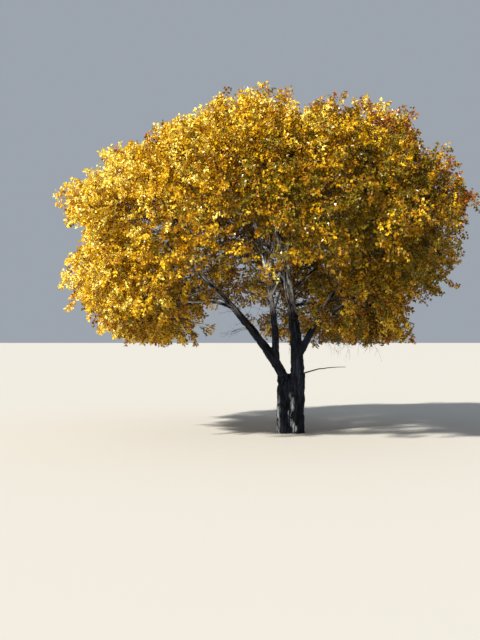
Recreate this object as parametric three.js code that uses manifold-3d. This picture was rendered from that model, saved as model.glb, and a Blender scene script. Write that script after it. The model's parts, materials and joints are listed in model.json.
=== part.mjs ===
// A broadleaf tree of the cottonwood kind in golden autumn leaf, standing on level ground.
// Two stems are grown together into one short trunk. They part low down into two leaders, which fork into
// boughs, and every bough ends in a mass of twigs and leaves. Each solid leaf stands for a whole spray.
// Millimetres, +Z up. The origin is the middle of the flat cut at ground level. +X is the right-hand side.

import * as THREE from 'three';
import { mergeVertices } from 'three/addons/utils/BufferGeometryUtils.js';
import Module from 'manifold-3d';

const wasm = await Module();
wasm.setup();

// Trunk: an oval of two joined stems, wider than it is deep.
const FORK_HEIGHT = 1250;
const TRUNK_HALF_WIDTH = 300;
const TRUNK_HALF_DEPTH = 225;
const TRUNK_LEAN = 36; // how far the top stands to the right of the foot
const SEAM_DEPTH = 0.13; // share of the radius lost where the two stems meet
const FLARE = 0.16; // extra radius at the ground, as a share
const FLARE_HEIGHT = 190;
const ROOT_RIDGES = 5;
const RIDGE_TURN = 0.6;
const RIDGE_SHARE = 0.35; // of the flare, the rest being even all round
const TRUNK_SIDES = 24;
const TRUNK_RINGS = 7;
const RING_CROWDING = 1.6; // rings stand closer together near the ground

// Crown: a broad dome round its own axis, which stands a little left of the trunk.
const CROWN = { x: -480, y: 0, z: 4350 };
const CROWN_HALF_WIDTH = 4850;
const CROWN_HALF_DEPTH = 4450;
const CROWN_RISE = 3380; // from the widest level to the top
const CROWN_DROP = 2450; // from the widest level to the lowest leaves
const CROWN_SQUARENESS = 2.4;
const CROWN_HEART = { x: -240, y: 0, z: 2850 }; // the masses and their leaves face away from here
const HOLLOW = 0.5; // the bare inside of the crown, as a share of its size
const MASS_REACH = 1900; // the furthest that a mass spreads from its own middle
const MASS_GAP = 60; // clear space between two masses
const STEM_DEPTH = 880; // from where a bough ends to the middle of its mass

// The skirt of the crown is open at the front and at the back left, so its lower edge is higher there.
const SKIRT_OPENINGS = [
  { azimuth: 268, spread: 44, height: 3600 },
  { azimuth: 118, spread: 20, height: 3000 },
];

// Rows of masses: azimuth in degrees from +X towards +Y, distance from the crown's axis, and height.
const TIERS = [
  { row: 'skirt', azimuths: [320, 2, 44, 86, 154, 184, 216], out: 3300, height: 2950 },
  { row: 'middle', azimuths: [0, 45, 90, 135, 180, 225, 270, 315], out: 3350, height: 4900 },
  { row: 'upper', azimuths: [30, 90, 150, 210, 270, 330], out: 2550, height: 6150 },
  { row: 'top', azimuths: [90, 210, 330], out: 1000, height: 6700 },
];

// Main limbs. A foot is a place on the trunk's top, or a share of the way up another limb. Each leaves its
// foot at an azimuth and a slope in degrees. The two pulls say how long it keeps its first and its last
// direction, as shares of its span.
const BOUGH_TIP_RADIUS = 24;
const TAPER_POWER = 0.8; // below 1, a limb thins quickly at first and slowly later
const FOOT_DEPTH = 60; // how far below the trunk's top the leaders' middle lines begin
const LEADERS = [
  { name: 'left_bough', foot: -122, leave: [180, 67], feeds: 'middle_180', pulls: [0.3, 0.1], radius: 128 },
  { name: 'right_upright', foot: 171, leave: [0, 90], feeds: 'top_90', pulls: [0.4, 0.3], radius: 165 },
];
const BRANCHES = [
  { name: 'left_upright', on: 'left_bough', at: 0.1, leave: [0, 88], feeds: 'top_210', radius: 92 },
  { name: 'left_inner', on: 'left_upright', at: 0.35, leave: [330, 62], feeds: 'top_330', radius: 50 },
  { name: 'right_bough', on: 'right_upright', at: 0.1, leave: [345, 62], feeds: 'middle_0', radius: 96 },
  { name: 'back_bough', on: 'right_upright', at: 0.24, leave: [80, 55], feeds: 'middle_90', radius: 76 },
  { name: 'front_bough', on: 'left_upright', at: 0.42, leave: [262, 55], feeds: 'middle_270', radius: 56 },
];
const USUAL_PULLS = [0.3, 0.34];
const LEADER_SIDES = 10;
const BRANCH_SIDES = 7;

// A thin bare branch low on the right leader.
const LOW_BRANCH = { on: 'right_upright', at: 0.018, leave: [352, 30], run: 1090, rise: 215, radius: 22 };
const LOW_BRANCH_TIP = 8;

// Side boughs are found by rule: every mass with no main limb takes the best place on the nearest one.
const SIDE_BOUGH_RADIUS = 24;
const LARGEST_SIDE_RADIUS = 38; // what the clearance of a path allows for
const SIDE_BOUGH_THICKENING = 0.013; // more radius for every millimetre of length
const SIDE_BOUGH_SHARE = 0.72; // of its parent's radius at most
const SIDE_BOUGH_SPACE = 30; // clear space to the other limbs
const SIDE_SIDES = 5;
const SIDE_BOUGH_ZONE = [0.2, 0.86]; // of a main limb's length, where side boughs may stand
const PARENT_TREND = 0.8; // how much a side bough first keeps its parent's direction
const RING_SPACING = 420; // along a limb
const LEAST_RINGS = 4;
const BEAD_SPACING = 60; // between the places where a limb's clearance is measured
const TURN_COST = 1.1; // how much a sharp turn counts against a place
const PLACE_SPACING = 260; // least distance between two feet on one limb
const FOOT_SHARE = 0.2; // of a side bough's path, where it may lie close to other limbs
const PARENT_SHARE = 0.5; // of the same, where it may lie close to its own parent
const PATH_STEP = 0.04;

// Twigs and leaves. Leaves are set out evenly over shells of the dome, one inside another.
const SEED = 5;
const SHELLS = [
  { level: 0.94, spacing: 730 },
  { level: 0.78, spacing: 1060 },
  { level: 0.63, spacing: 1500 },
];
const ROW_SHIFT = 0.382; // from row to row, as a share of the spacing
const STEM_RADIUS = 26;
const STEM_TIP_RADIUS = 20;
const STEM_REACH = 380; // how far the stem runs on past the middle of its mass
const STEM_SIDES = 5;
const STEM_JOINTS = [0.15, 0.3, 0.42, 0.54, 0.66, 0.78, 0.88, 0.97]; // shares of it where twigs stand
const TWIG_TIP_RADIUS = 10;
const TWIG_JOINTS = [0.35, 0.7]; // shares of a twig where others stand
const TWIG_FOOT = 0.6; // radius of a twig's foot, as a share of the room inside the wood it stands in
const TURN_DISLIKE = 2.7; // how much a joint that needs a sharp turn counts as further away
const LEAF_LENGTH = 720;
const LEAF_WIDTH = 700;
const LEAF_THICKNESS = 20;
const LEAF_BROADEST = 0.4; // where a leaf is broadest, as a share of its length
const LEAF_MIDDLE = 0.45; // the place along it that is set down
const LEAF_WAY = { onward: 0.7, sideways: 0.7, down: 0.25 }; // what a leaf's direction is made of
const LEAF_TILT = 0.3; // how unevenly the leaves face outwards
const LEAST_LINE = 0.3; // cosine of the sharpest bend between a twig and its leaf
const LEAF_TRIES = 24;
const TRY_STEP = 0.018; // each try stands a little nearer to the middle of the mass
const LIMB_CLEARANCE = 40; // from a leaf or twig to a limb
const LEAF_CLEARANCE = 85; // between the points where two leaves are measured
const TWIG_CLEARANCE = 60; // the same for a twig and a leaf or twig
const NEAR_MASS = 1.5 * MASS_REACH; // limbs further off than this can't meet a mass's twigs
const SAMPLE_ROWS = 8; // along a leaf, where its place is tested
const SAMPLES_ASIDE = 3; // on each side of its middle line where it is broadest
const TOUCH_GAP = 0.3; // between a limb and what it stands on
const MERGE_DISTANCE = 0.001;

const BARK_COLOUR = '#4b4239';

// Autumn tints from left to right: each holds for the masses whose middle lies left of its end.
const TINTS = [
  { end: -2000, colour: '#e3a51c' }, // gold
  { end: 1000, colour: '#c07d14' }, // amber
  { end: 2500, colour: '#8c7a1e' }, // olive
  { end: Infinity, colour: '#94500f' }, // russet
];

const FLATNESS = CROWN_HALF_DEPTH / CROWN_HALF_WIDTH;

const UP = new THREE.Vector3(0, 0, 1);
const { clamp, degToRad, euclideanModulo, lerp, radToDeg } = THREE.MathUtils;
const vector = (x, y, z) => new THREE.Vector3(x, y, z);
const crownMiddle = vector(CROWN.x, CROWN.y, CROWN.z);
const heart = vector(CROWN_HEART.x, CROWN_HEART.y, CROWN_HEART.z);

// The direction at an azimuth, sloping up by a number of degrees.
function heading(azimuth, slope) {
  const turn = degToRad(azimuth);
  const rise = degToRad(slope);
  return vector(Math.cos(turn) * Math.cos(rise), Math.sin(turn) * Math.cos(rise), Math.sin(rise));
}

// A small repeatable source of numbers from 0 to 1.
function seededNumbers(seed) {
  let state = seed >>> 0;
  return () => {
    state = (state + 0x6d2b79f5) >>> 0;
    let mixed = Math.imul(state ^ (state >>> 15), state | 1);
    mixed ^= mixed + Math.imul(mixed ^ (mixed >>> 7), mixed | 61);
    return ((mixed ^ (mixed >>> 14)) >>> 0) / 4294967296;
  };
}

// Crown space

// Below 1 inside the dome and above 1 outside it.
function domeLevel(point) {
  const offset = point.clone().sub(crownMiddle);
  const reach = offset.z > 0 ? CROWN_RISE : CROWN_DROP;
  const level =
    Math.abs(offset.x / CROWN_HALF_WIDTH) ** CROWN_SQUARENESS +
    Math.abs(offset.y / CROWN_HALF_DEPTH) ** CROWN_SQUARENESS +
    Math.abs(offset.z / reach) ** CROWN_SQUARENESS;
  return level ** (1 / CROWN_SQUARENESS);
}

// The height of the crown's lower edge on the side where the point lies.
function skirtHeight(point) {
  const azimuth = radToDeg(Math.atan2(point.y - CROWN.y, point.x - CROWN.x));
  let height = 0;
  for (const opening of SKIRT_OPENINGS) {
    const off = euclideanModulo(azimuth - opening.azimuth + 180, 360) - 180;
    height = Math.max(height, opening.height * Math.exp(-((off / opening.spread) ** 4)));
  }
  return height;
}

function makeMasses() {
  const masses = [];
  for (const tier of TIERS) {
    for (const azimuth of tier.azimuths) {
      const side = heading(azimuth, 0);
      const offset = vector(side.x * tier.out, side.y * tier.out * FLATNESS, tier.height);
      const middle = vector(CROWN.x, CROWN.y, 0).add(offset);
      const outward = middle.clone().sub(heart).normalize();
      const entry = middle.clone().addScaledVector(outward, -STEM_DEPTH);
      masses.push({ name: `${tier.row}_${azimuth}`, middle, outward, entry, places: [] });
    }
  }
  return masses;
}

// How far a point lies inside the border that the mass shares with its nearest neighbour.
function borderDistance(mass, masses, point) {
  const own = point.distanceToSquared(mass.middle);
  let least = Infinity;
  for (const other of masses) {
    if (other === mass) continue;
    const between = mass.middle.distanceTo(other.middle);
    least = Math.min(least, (point.distanceToSquared(other.middle) - own) / (2 * between));
  }
  return least;
}

// True where a point belongs to this mass: in the dome, out of the bare inside, above the lower edge,
// near its middle, and nearer to it than to any other middle.
function inMass(mass, masses, point) {
  const level = domeLevel(point);
  if (level > 1 || level < HOLLOW || point.z < skirtHeight(point)) return false;
  if (point.distanceTo(mass.middle) > MASS_REACH) return false;
  return borderDistance(mass, masses, point) > MASS_GAP / 2;
}

// Limbs

const limbRadius = (limb, share) => lerp(limb.radius, limb.tip, share ** TAPER_POWER);

// A curve that leaves its foot in one direction and arrives at its tip in another.
function limbPath(foot, leave, tip, arrive, pulls = USUAL_PULLS) {
  const span = foot.distanceTo(tip);
  const first = foot.clone().addScaledVector(leave, span * pulls[0]);
  const last = tip.clone().addScaledVector(arrive, -span * pulls[1]);
  return new THREE.CubicBezierCurve3(foot, first, last, tip);
}

function finishLimb(limb) {
  const length = limb.path.getLength();
  const count = Math.ceil(length / BEAD_SPACING);
  limb.rings = Math.max(LEAST_RINGS, Math.round(length / RING_SPACING));
  limb.beads = [];
  for (let i = 0; i <= count; i++) {
    const share = i / count;
    limb.beads.push({ limb, share, point: limb.path.getPointAt(share), radius: limbRadius(limb, share) });
  }
  return limb;
}

function makeMainLimbs(masses) {
  const limbs = [];
  for (const plan of [...LEADERS, ...BRANCHES]) {
    const mass = masses.find((one) => one.name === plan.feeds);
    const parent = limbs.find((one) => one.name === plan.on);
    const foot = parent ? parent.path.getPointAt(plan.at) : vector(plan.foot, 0, FORK_HEIGHT - FOOT_DEPTH);
    const path = limbPath(foot, heading(...plan.leave), mass.entry, mass.outward, plan.pulls);
    const sides = parent ? BRANCH_SIDES : LEADER_SIDES;
    mass.limb = finishLimb({ ...plan, parent, path, sides, tip: BOUGH_TIP_RADIUS });
    limbs.push(mass.limb);
  }
  return limbs;
}

function makeLowBranch(limbs) {
  const { on, at, leave, run, rise, radius } = LOW_BRANCH;
  const parent = limbs.find((one) => one.name === on);
  const foot = parent.path.getPointAt(at);
  const side = heading(leave[0], 0);
  const end = foot.clone().addScaledVector(side, run).addScaledVector(UP, rise);
  const path = limbPath(foot, heading(...leave), end, side);
  const root = { name: 'low_branch', parent, at };
  return finishLimb({ ...root, path, radius, tip: LOW_BRANCH_TIP, sides: SIDE_SIDES });
}

// The least gap from a path to the limbs, past the part of it that may lie close to them.
function pathSpace(path, parent, limbs) {
  let least = Infinity;
  for (let share = FOOT_SHARE; share <= 1; share += PATH_STEP) {
    const point = path.getPoint(share);
    for (const limb of limbs) {
      if (limb === parent && share < PARENT_SHARE) continue;
      for (const bead of limb.beads) least = Math.min(least, point.distanceTo(bead.point) - bead.radius);
    }
  }
  return least;
}

function makeSideBough(mass, limbs, mains) {
  const space = SIDE_BOUGH_SPACE + LARGEST_SIDE_RADIUS;
  let best = null;
  for (const bead of mains.flatMap((limb) => limb.beads)) {
    if (bead.share < SIDE_BOUGH_ZONE[0] || bead.share > SIDE_BOUGH_ZONE[1]) continue;
    const rivals = limbs.filter((limb) => limb.parent === bead.limb);
    if (rivals.some((limb) => limb.path.getPoint(0).distanceTo(bead.point) < PLACE_SPACING)) continue;
    const way = mass.entry.clone().sub(bead.point);
    const aim = way.clone().normalize();
    const tangent = bead.limb.path.getTangentAt(bead.share);
    const cost = way.length() * (1 + TURN_COST * (1 - tangent.dot(aim)));
    if (best && cost >= best.cost) continue;
    const leave = tangent.multiplyScalar(PARENT_TREND).add(aim).normalize();
    const path = limbPath(bead.point, leave, mass.entry, mass.outward);
    if (pathSpace(path, bead.limb, limbs) < space) continue;
    best = { cost, path, bead };
  }
  const { path, bead } = best;
  const wanted = SIDE_BOUGH_RADIUS + SIDE_BOUGH_THICKENING * path.getLength();
  const radius = Math.min(wanted, bead.radius * SIDE_BOUGH_SHARE);
  const root = { name: `bough_${mass.name}`, parent: bead.limb, at: bead.share };
  return finishLimb({ ...root, path, radius, tip: BOUGH_TIP_RADIUS, sides: SIDE_SIDES });
}

// Solids

function solidOf(geometry) {
  geometry.deleteAttribute('normal');
  geometry.deleteAttribute('uv');
  const merged = mergeVertices(geometry, MERGE_DISTANCE);
  const vertProperties = merged.attributes.position.array;
  const triVerts = new Uint32Array(merged.index.array);
  return new wasm.Manifold(new wasm.Mesh({ numProp: 3, vertProperties, triVerts }));
}

function largestPiece(solid) {
  return solid.decompose().reduce((largest, one) => (one.volume() > largest.volume() ? one : largest));
}

function meshOf(name, solid, color) {
  const data = solid.getMesh();
  const geometry = new THREE.BufferGeometry();
  geometry.setAttribute('position', new THREE.BufferAttribute(data.vertProperties, 3));
  geometry.setIndex(new THREE.BufferAttribute(data.triVerts, 1));
  geometry.computeVertexNormals();
  const material = new THREE.MeshStandardMaterial({ color, roughness: 0.9, flatShading: true });
  const mesh = new THREE.Mesh(geometry, material);
  mesh.name = name;
  return mesh;
}

// Moves every vertex of a geometry to where the rule puts it.
function reshape(geometry, rule) {
  const position = geometry.getAttribute('position');
  for (let i = 0; i < position.count; i++) {
    const point = rule(vector(position.getX(i), position.getY(i), position.getZ(i)));
    position.setXYZ(i, point.x, point.y, point.z);
  }
  return solidOf(geometry);
}

// The trunk's section at a height: two stems side by side, with ridged roots that flare at the ground.
function trunkPoint(turn, height) {
  const across = Math.cos(turn);
  const along = Math.sin(turn);
  const seam = 1 - SEAM_DEPTH * along ** 6;
  const ridge = 1 - RIDGE_SHARE + RIDGE_SHARE * Math.cos(ROOT_RIDGES * turn + RIDGE_TURN);
  const flare = 1 + FLARE * ridge * Math.exp(-height / FLARE_HEIGHT);
  const lean = TRUNK_LEAN * (height / FORK_HEIGHT);
  return vector(lean + across * TRUNK_HALF_WIDTH * flare, along * TRUNK_HALF_DEPTH * seam * flare, height);
}

// The trunk from ground to fork, grown sideways and upwards by a number of millimetres.
function trunkSolid(grow = 0) {
  return reshape(new THREE.CylinderGeometry(1, 1, 1, TRUNK_SIDES, TRUNK_RINGS), (unit) => {
    const share = unit.y + 0.5;
    const height = share ** RING_CROWDING * (FORK_HEIGHT + grow);
    const middle = vector(TRUNK_LEAN * (height / FORK_HEIGHT), 0, height);
    if (Math.hypot(unit.x, unit.z) < 0.5) return middle;
    const point = trunkPoint(Math.atan2(-unit.z, unit.x), height);
    return point.addScaledVector(point.clone().sub(middle).normalize(), grow);
  });
}

// A cylinder bent along a path and tapered.
function bentCylinder(path, radiusAt, sides, rings) {
  const frames = path.computeFrenetFrames(rings);
  return reshape(new THREE.CylinderGeometry(1, 1, 1, sides, rings), (unit) => {
    const share = unit.y + 0.5;
    const ring = Math.round(share * rings);
    const point = path.getPointAt(share);
    point.addScaledVector(frames.normals[ring], unit.x * radiusAt(share));
    return point.addScaledVector(frames.binormals[ring], -unit.z * radiusAt(share));
  });
}

function limbSolid(limb, grow = 0) {
  return bentCylinder(limb.path, (share) => limbRadius(limb, share) + grow, limb.sides, limb.rings);
}

// A leaf and the straight three-sided twig that it ends: a cone in three stages, from the twig's foot to
// the leaf's root, on to its broadest place, where it is pressed flat, and to its tip.
function leafSolid(leaf) {
  const { foot, footRadius, root, along, across, normal } = leaf;
  const broadest = root.clone().addScaledVector(along, LEAF_BROADEST * LEAF_LENGTH);
  const stages = [
    { middle: foot, half: footRadius, depth: footRadius },
    { middle: root, half: TWIG_TIP_RADIUS, depth: TWIG_TIP_RADIUS },
    { middle: broadest, half: LEAF_WIDTH / Math.sqrt(3), depth: LEAF_THICKNESS / 1.5 },
    { middle: root.clone().addScaledVector(along, LEAF_LENGTH), half: 0, depth: 0 },
  ];
  const sides = 3;
  const steps = stages.length - 1;
  return reshape(new THREE.ConeGeometry(1, 1, sides, steps), (unit) => {
    const stage = stages[Math.round((unit.y + 0.5) * steps)];
    const point = stage.middle.clone();
    if (Math.hypot(unit.x, unit.z) < 0.01) return point;
    const turn = Math.atan2(unit.x, unit.z);
    point.addScaledVector(across, Math.sin(turn) * stage.half);
    return point.addScaledVector(normal, Math.cos(turn) * stage.depth);
  });
}

// Points spread over a leaf, to test where it lies.
function leafSamples({ root, along, across }) {
  const samples = [];
  for (let row = 0; row <= SAMPLE_ROWS; row++) {
    const share = row / SAMPLE_ROWS;
    const breadth = Math.min(share / LEAF_BROADEST, (1 - share) / (1 - LEAF_BROADEST));
    const count = 1 + 2 * Math.round(breadth * SAMPLES_ASIDE);
    for (let i = 0; i < count; i++) {
      const side = count > 1 ? (2 * i) / (count - 1) - 1 : 0;
      const middle = root.clone().addScaledVector(along, share * LEAF_LENGTH);
      samples.push(middle.addScaledVector(across, (side * breadth * LEAF_WIDTH) / 2));
    }
  }
  return samples;
}

function lineSamples(from, to) {
  const count = Math.ceil(from.distanceTo(to) / BEAD_SPACING);
  return Array.from({ length: count + 1 }, (_, i) => from.clone().lerp(to, i / count));
}

// Twigs and leaves

// Gives every mass the places in its space, from even rows round each shell of the dome.
function shareOutPlaces(masses) {
  const power = 2 / CROWN_SQUARENESS;
  for (const { level, spacing } of SHELLS) {
    const profile = [];
    for (let slope = -90; slope <= 90; slope += 5) {
      const rise = Math.sin(degToRad(slope));
      const reach = rise > 0 ? CROWN_RISE : CROWN_DROP;
      const out = clamp(Math.cos(degToRad(slope)), 0, 1) ** power;
      const height = Math.sign(rise) * reach * Math.abs(rise) ** power;
      profile.push(new THREE.Vector2(CROWN_HALF_WIDTH * out, height));
    }
    const curve = new THREE.SplineCurve(profile);
    const rows = Math.round((curve.getLength() * level) / spacing);
    curve.getSpacedPoints(rows).forEach(({ x: out, y: rise }, row) => {
      const count = Math.max(1, Math.round((2 * Math.PI * out * level) / spacing));
      for (let i = 0; i < count; i++) {
        const side = heading(((i + row * ROW_SHIFT) * 360) / count, 0);
        const offset = vector(side.x * out, side.y * out * FLATNESS, rise);
        const surface = crownMiddle.clone().add(offset);
        const place = crownMiddle.clone().addScaledVector(offset, level / domeLevel(surface));
        const mass = masses.find((one) => borderDistance(one, masses, place) > 0);
        if (mass && place.z > skirtHeight(place)) mass.places.push(place);
      }
    });
  }
}

const apart = (points, others, gap) =>
  points.every((point) => others.every((other) => point.distanceToSquared(other) > gap * gap));

// The twig stem of a mass, then a twig with its leaf for each place, from the nearest joint there is.
function growMass(mass, masses, limbs, order) {
  const random = seededNumbers(SEED + order);
  const jitter = () => vector(random() * 2 - 1, random() * 2 - 1, random() * 2 - 1);
  const beads = limbs.flatMap((limb) => limb.beads);
  const near = beads.filter((bead) => bead.point.distanceTo(mass.middle) < NEAR_MASS);
  const clearOfLimbs = (point) =>
    near.every((bead) => point.distanceTo(bead.point) > bead.radius + LIMB_CLEARANCE);
  const inPlace = (points) => points.every((point) => inMass(mass, masses, point) && clearOfLimbs(point));

  const stemStart = mass.entry.clone().addScaledVector(mass.outward, TOUCH_GAP);
  const stemEnd = mass.middle.clone().addScaledVector(mass.outward, STEM_REACH);
  const stem = new THREE.LineCurve3(stemStart, stemEnd);
  const stemRadius = (share) => lerp(STEM_RADIUS, STEM_TIP_RADIUS, share);
  const solids = [bentCylinder(stem, stemRadius, STEM_SIDES, 1)];
  const joints = STEM_JOINTS.map((share) => ({
    point: stem.getPoint(share),
    along: mass.outward,
    room: stemRadius(share) * Math.cos(Math.PI / STEM_SIDES),
  }));
  const leafPoints = [];
  const twigPoints = lineSamples(stemStart, stemEnd);

  mass.places.sort((a, b) => a.distanceTo(mass.entry) - b.distanceTo(mass.entry));
  for (const place of mass.places) {
    for (let attempt = 0; attempt < LEAF_TRIES; attempt++) {
      const spot = place.clone().lerp(mass.middle, attempt * TRY_STEP);
      const outward = spot.clone().sub(heart).normalize();
      const sideways = jitter().cross(outward).normalize();
      const along = spot.clone().sub(mass.entry).normalize().multiplyScalar(LEAF_WAY.onward);
      along.addScaledVector(sideways, LEAF_WAY.sideways).addScaledVector(UP, -LEAF_WAY.down).normalize();
      const across = along.clone().cross(outward.addScaledVector(jitter(), LEAF_TILT)).normalize();
      const normal = across.clone().cross(along);
      const root = spot.addScaledVector(along, -LEAF_MIDDLE * LEAF_LENGTH);
      const reach = (joint) => {
        const way = root.clone().sub(joint.point);
        const line = way.dot(along) / way.length();
        const turn = way.dot(joint.along) / way.length();
        return line < LEAST_LINE ? Infinity : way.length() * (TURN_DISLIKE - line - turn);
      };
      const joint = joints.reduce((best, one) => (reach(one) < reach(best) ? one : best));
      if (reach(joint) === Infinity) continue;
      const footRadius = joint.room * TWIG_FOOT;
      const leaf = { foot: joint.point, footRadius, root, along, across, normal };
      const twig = lineSamples(joint.point, root);
      const blade = leafSamples(leaf);
      const twigAlong = root.clone().sub(joint.point).normalize();
      if (!inPlace(twig) || !apart(twig.slice(1), leafPoints, TWIG_CLEARANCE)) continue;
      if (!inPlace(blade) || !apart(blade, leafPoints, LEAF_CLEARANCE)) continue;
      if (!apart(blade.slice(1), twigPoints, TWIG_CLEARANCE)) continue;
      if (!apart(twig.slice(2), twigPoints, TWIG_CLEARANCE)) continue;
      solids.push(leafSolid(leaf));
      joints.splice(joints.indexOf(joint), 1);
      for (const share of TWIG_JOINTS) {
        const room = lerp(footRadius, TWIG_TIP_RADIUS, share) * Math.cos(Math.PI / 3);
        joints.push({ point: joint.point.clone().lerp(root, share), along: twigAlong, room });
      }
      leafPoints.push(...blade);
      twigPoints.push(...twig);
      break;
    }
  }
  return largestPiece(solids.reduce((sum, one) => sum.add(one)));
}

// The whole tree

const masses = makeMasses();
const mains = makeMainLimbs(masses);
const limbs = [...mains, makeLowBranch(mains)];
for (const mass of masses.filter((one) => !one.limb)) {
  mass.limb = makeSideBough(mass, limbs, mains);
  limbs.push(mass.limb);
}
shareOutPlaces(masses);

const tree = new THREE.Group();
tree.add(meshOf('trunk', trunkSolid(), BARK_COLOUR));
const grownTrunk = trunkSolid(TOUCH_GAP);
for (const limb of limbs) {
  let solid = limbSolid(limb).subtract(grownTrunk);
  if (limb.parent) solid = solid.subtract(limbSolid(limb.parent, TOUCH_GAP));
  tree.add(meshOf(limb.name, largestPiece(solid), BARK_COLOUR));
}
masses.forEach((mass, order) => {
  const { colour } = TINTS.find((tint) => mass.middle.x < tint.end);
  tree.add(meshOf(`leaves_${mass.name}`, growMass(mass, masses, limbs, order), colour));
});

export default tree;
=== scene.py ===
"""Dresses an autumn cottonwood tree: furrowed bark, twigs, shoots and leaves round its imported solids.

The crown grows by the rule that the solids follow. Masses stand round a dome, each is fed by a bough,
and twigs branch from the stem of a mass towards even places on the shells of the dome. Here the rule
is carried on to finer twigs, and every place holds a spray of leaves near their natural size.
Lengths are in metres where nothing else is said, with +X to the right, +Y to the back and +Z up.
"""

import functools
import json
import math
from collections import namedtuple

import bmesh
import bpy
import numpy as np
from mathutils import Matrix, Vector, noise

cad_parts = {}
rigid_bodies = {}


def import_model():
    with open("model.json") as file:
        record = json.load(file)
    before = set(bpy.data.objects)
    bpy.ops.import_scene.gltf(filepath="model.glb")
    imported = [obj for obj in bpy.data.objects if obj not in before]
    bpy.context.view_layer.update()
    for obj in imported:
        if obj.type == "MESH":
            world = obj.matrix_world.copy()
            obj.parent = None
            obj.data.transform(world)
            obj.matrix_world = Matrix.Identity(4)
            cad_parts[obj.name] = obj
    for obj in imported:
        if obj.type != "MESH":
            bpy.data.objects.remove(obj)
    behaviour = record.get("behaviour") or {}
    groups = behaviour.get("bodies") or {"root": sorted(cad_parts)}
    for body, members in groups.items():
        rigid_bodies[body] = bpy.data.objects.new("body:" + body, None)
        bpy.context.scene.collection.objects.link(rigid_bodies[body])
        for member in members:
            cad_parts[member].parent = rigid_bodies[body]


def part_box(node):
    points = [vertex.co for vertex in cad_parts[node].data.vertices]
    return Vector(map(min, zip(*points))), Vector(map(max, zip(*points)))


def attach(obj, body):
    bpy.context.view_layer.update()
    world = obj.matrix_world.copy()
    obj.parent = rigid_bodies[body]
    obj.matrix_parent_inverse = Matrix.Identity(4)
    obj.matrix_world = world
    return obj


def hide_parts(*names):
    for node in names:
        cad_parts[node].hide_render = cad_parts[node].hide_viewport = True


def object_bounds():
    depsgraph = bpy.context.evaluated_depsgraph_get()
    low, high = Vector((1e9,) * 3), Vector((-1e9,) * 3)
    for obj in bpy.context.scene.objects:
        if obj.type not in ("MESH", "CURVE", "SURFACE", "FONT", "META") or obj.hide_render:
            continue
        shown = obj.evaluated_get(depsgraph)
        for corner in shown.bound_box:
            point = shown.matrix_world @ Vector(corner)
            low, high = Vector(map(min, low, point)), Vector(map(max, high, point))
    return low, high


bl_info = {
    "name": "Autumn Cottonwood",
    "version": (1, 0, 0),
    "blender": (4, 5, 0),
    "location": "View3D > Sidebar > Tree",
    "description": "Bark, twigs and autumn leaves for a broad shade tree",
    "category": "Add Mesh",
}

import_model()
CAD_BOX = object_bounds()
UP = np.array((0.0, 0.0, 1.0))

# Trunk: an oval of two joined stems round a core, as in the solids.
FORK_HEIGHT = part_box("trunk")[1].z
TRUNK_HALF_WIDTH = 0.3
TRUNK_HALF_DEPTH = 0.225
TRUNK_LEAN = 0.036
TRUNK_TURNS = np.linspace(0, 2 * math.pi, 56, endpoint=False)
TRUNK_RING_STEP = 0.05
BELOW_GROUND = 0.06  # the raw trunk reaches this far down, and is then cut flat at the ground
SEAM_DEPTH = 0.13
SEAM_SHARPNESS = 6
FLARE = 0.16
FLARE_HEIGHT = 0.19
ROOT_RIDGES = 5
RIDGE_TURN = 0.6
RIDGE_SHARE = 0.35
CORE_WIDTH = 0.95  # as a share of the trunk's
CORE_DEPTH = 0.86
CORE_TOP = 0.03  # above the fork
CORE_CLOSING = 0.22  # how far below its top the core starts to close
CORE_LEAST = 0.05
STEM_HALF_WIDTH = 0.165
STEM_TOP = 0.1  # above the fork, inside the limb that goes on from the stem
STEM_NARROWING = 0.62  # share of its height from which a stem's depth shrinks to its limb's
NARROWING_POWER = 1.5
LEADER_SHARE = 0.02  # of a limb's length, at the point that its stem leads to

# Crown: a broad dome round its own axis.
CROWN = np.array((-0.48, 0.0, 4.35))
CROWN_HALF_WIDTH = 4.85
CROWN_HALF_DEPTH = 4.45
CROWN_RISE = 3.38
CROWN_DROP = 2.45
CROWN_SQUARENESS = 2.4
CROWN_HEART = np.array((-0.24, 0.0, 2.85))
FLATNESS = CROWN_HALF_DEPTH / CROWN_HALF_WIDTH
MASS_REACH = 1.9
STEM_DEPTH = 0.88
SKIRT_OPENINGS = (
    {"azimuth": 268, "spread": 44, "height": 3.6},
    {"azimuth": 118, "spread": 20, "height": 3.0},
)
TIERS = (
    {"row": "skirt", "azimuths": (320, 2, 44, 86, 154, 184, 216), "out": 3.3, "height": 2.95},
    {"row": "middle", "azimuths": (0, 45, 90, 135, 180, 225, 270, 315), "out": 3.35, "height": 4.9},
    {"row": "upper", "azimuths": (30, 90, 150, 210, 270, 330), "out": 2.55, "height": 6.15},
    {"row": "top", "azimuths": (90, 210, 330), "out": 1.0, "height": 6.7},
)

# Main limbs, as in the solids: where each stands, how it leaves its foot and which mass it feeds.
BOUGH_TIP_RADIUS = 0.024
TAPER_POWER = 0.8
FOOT_DEPTH = 0.06
USUAL_PULLS = (0.3, 0.34)
LimbPlan = namedtuple("LimbPlan", "name on at leave feeds radius pulls", defaults=(USUAL_PULLS,))
MAIN_LIMBS = (
    LimbPlan("left_bough", None, -0.122, (180, 67), "middle_180", 0.128, (0.3, 0.1)),
    LimbPlan("right_upright", None, 0.171, (0, 90), "top_90", 0.165, (0.4, 0.3)),
    LimbPlan("left_upright", "left_bough", 0.1, (0, 88), "top_210", 0.092),
    LimbPlan("left_inner", "left_upright", 0.35, (330, 62), "top_330", 0.05),
    LimbPlan("right_bough", "right_upright", 0.1, (345, 62), "middle_0", 0.096),
    LimbPlan("back_bough", "right_upright", 0.24, (80, 55), "middle_90", 0.076),
    LimbPlan("front_bough", "left_upright", 0.42, (262, 55), "middle_270", 0.056),
)
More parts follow.
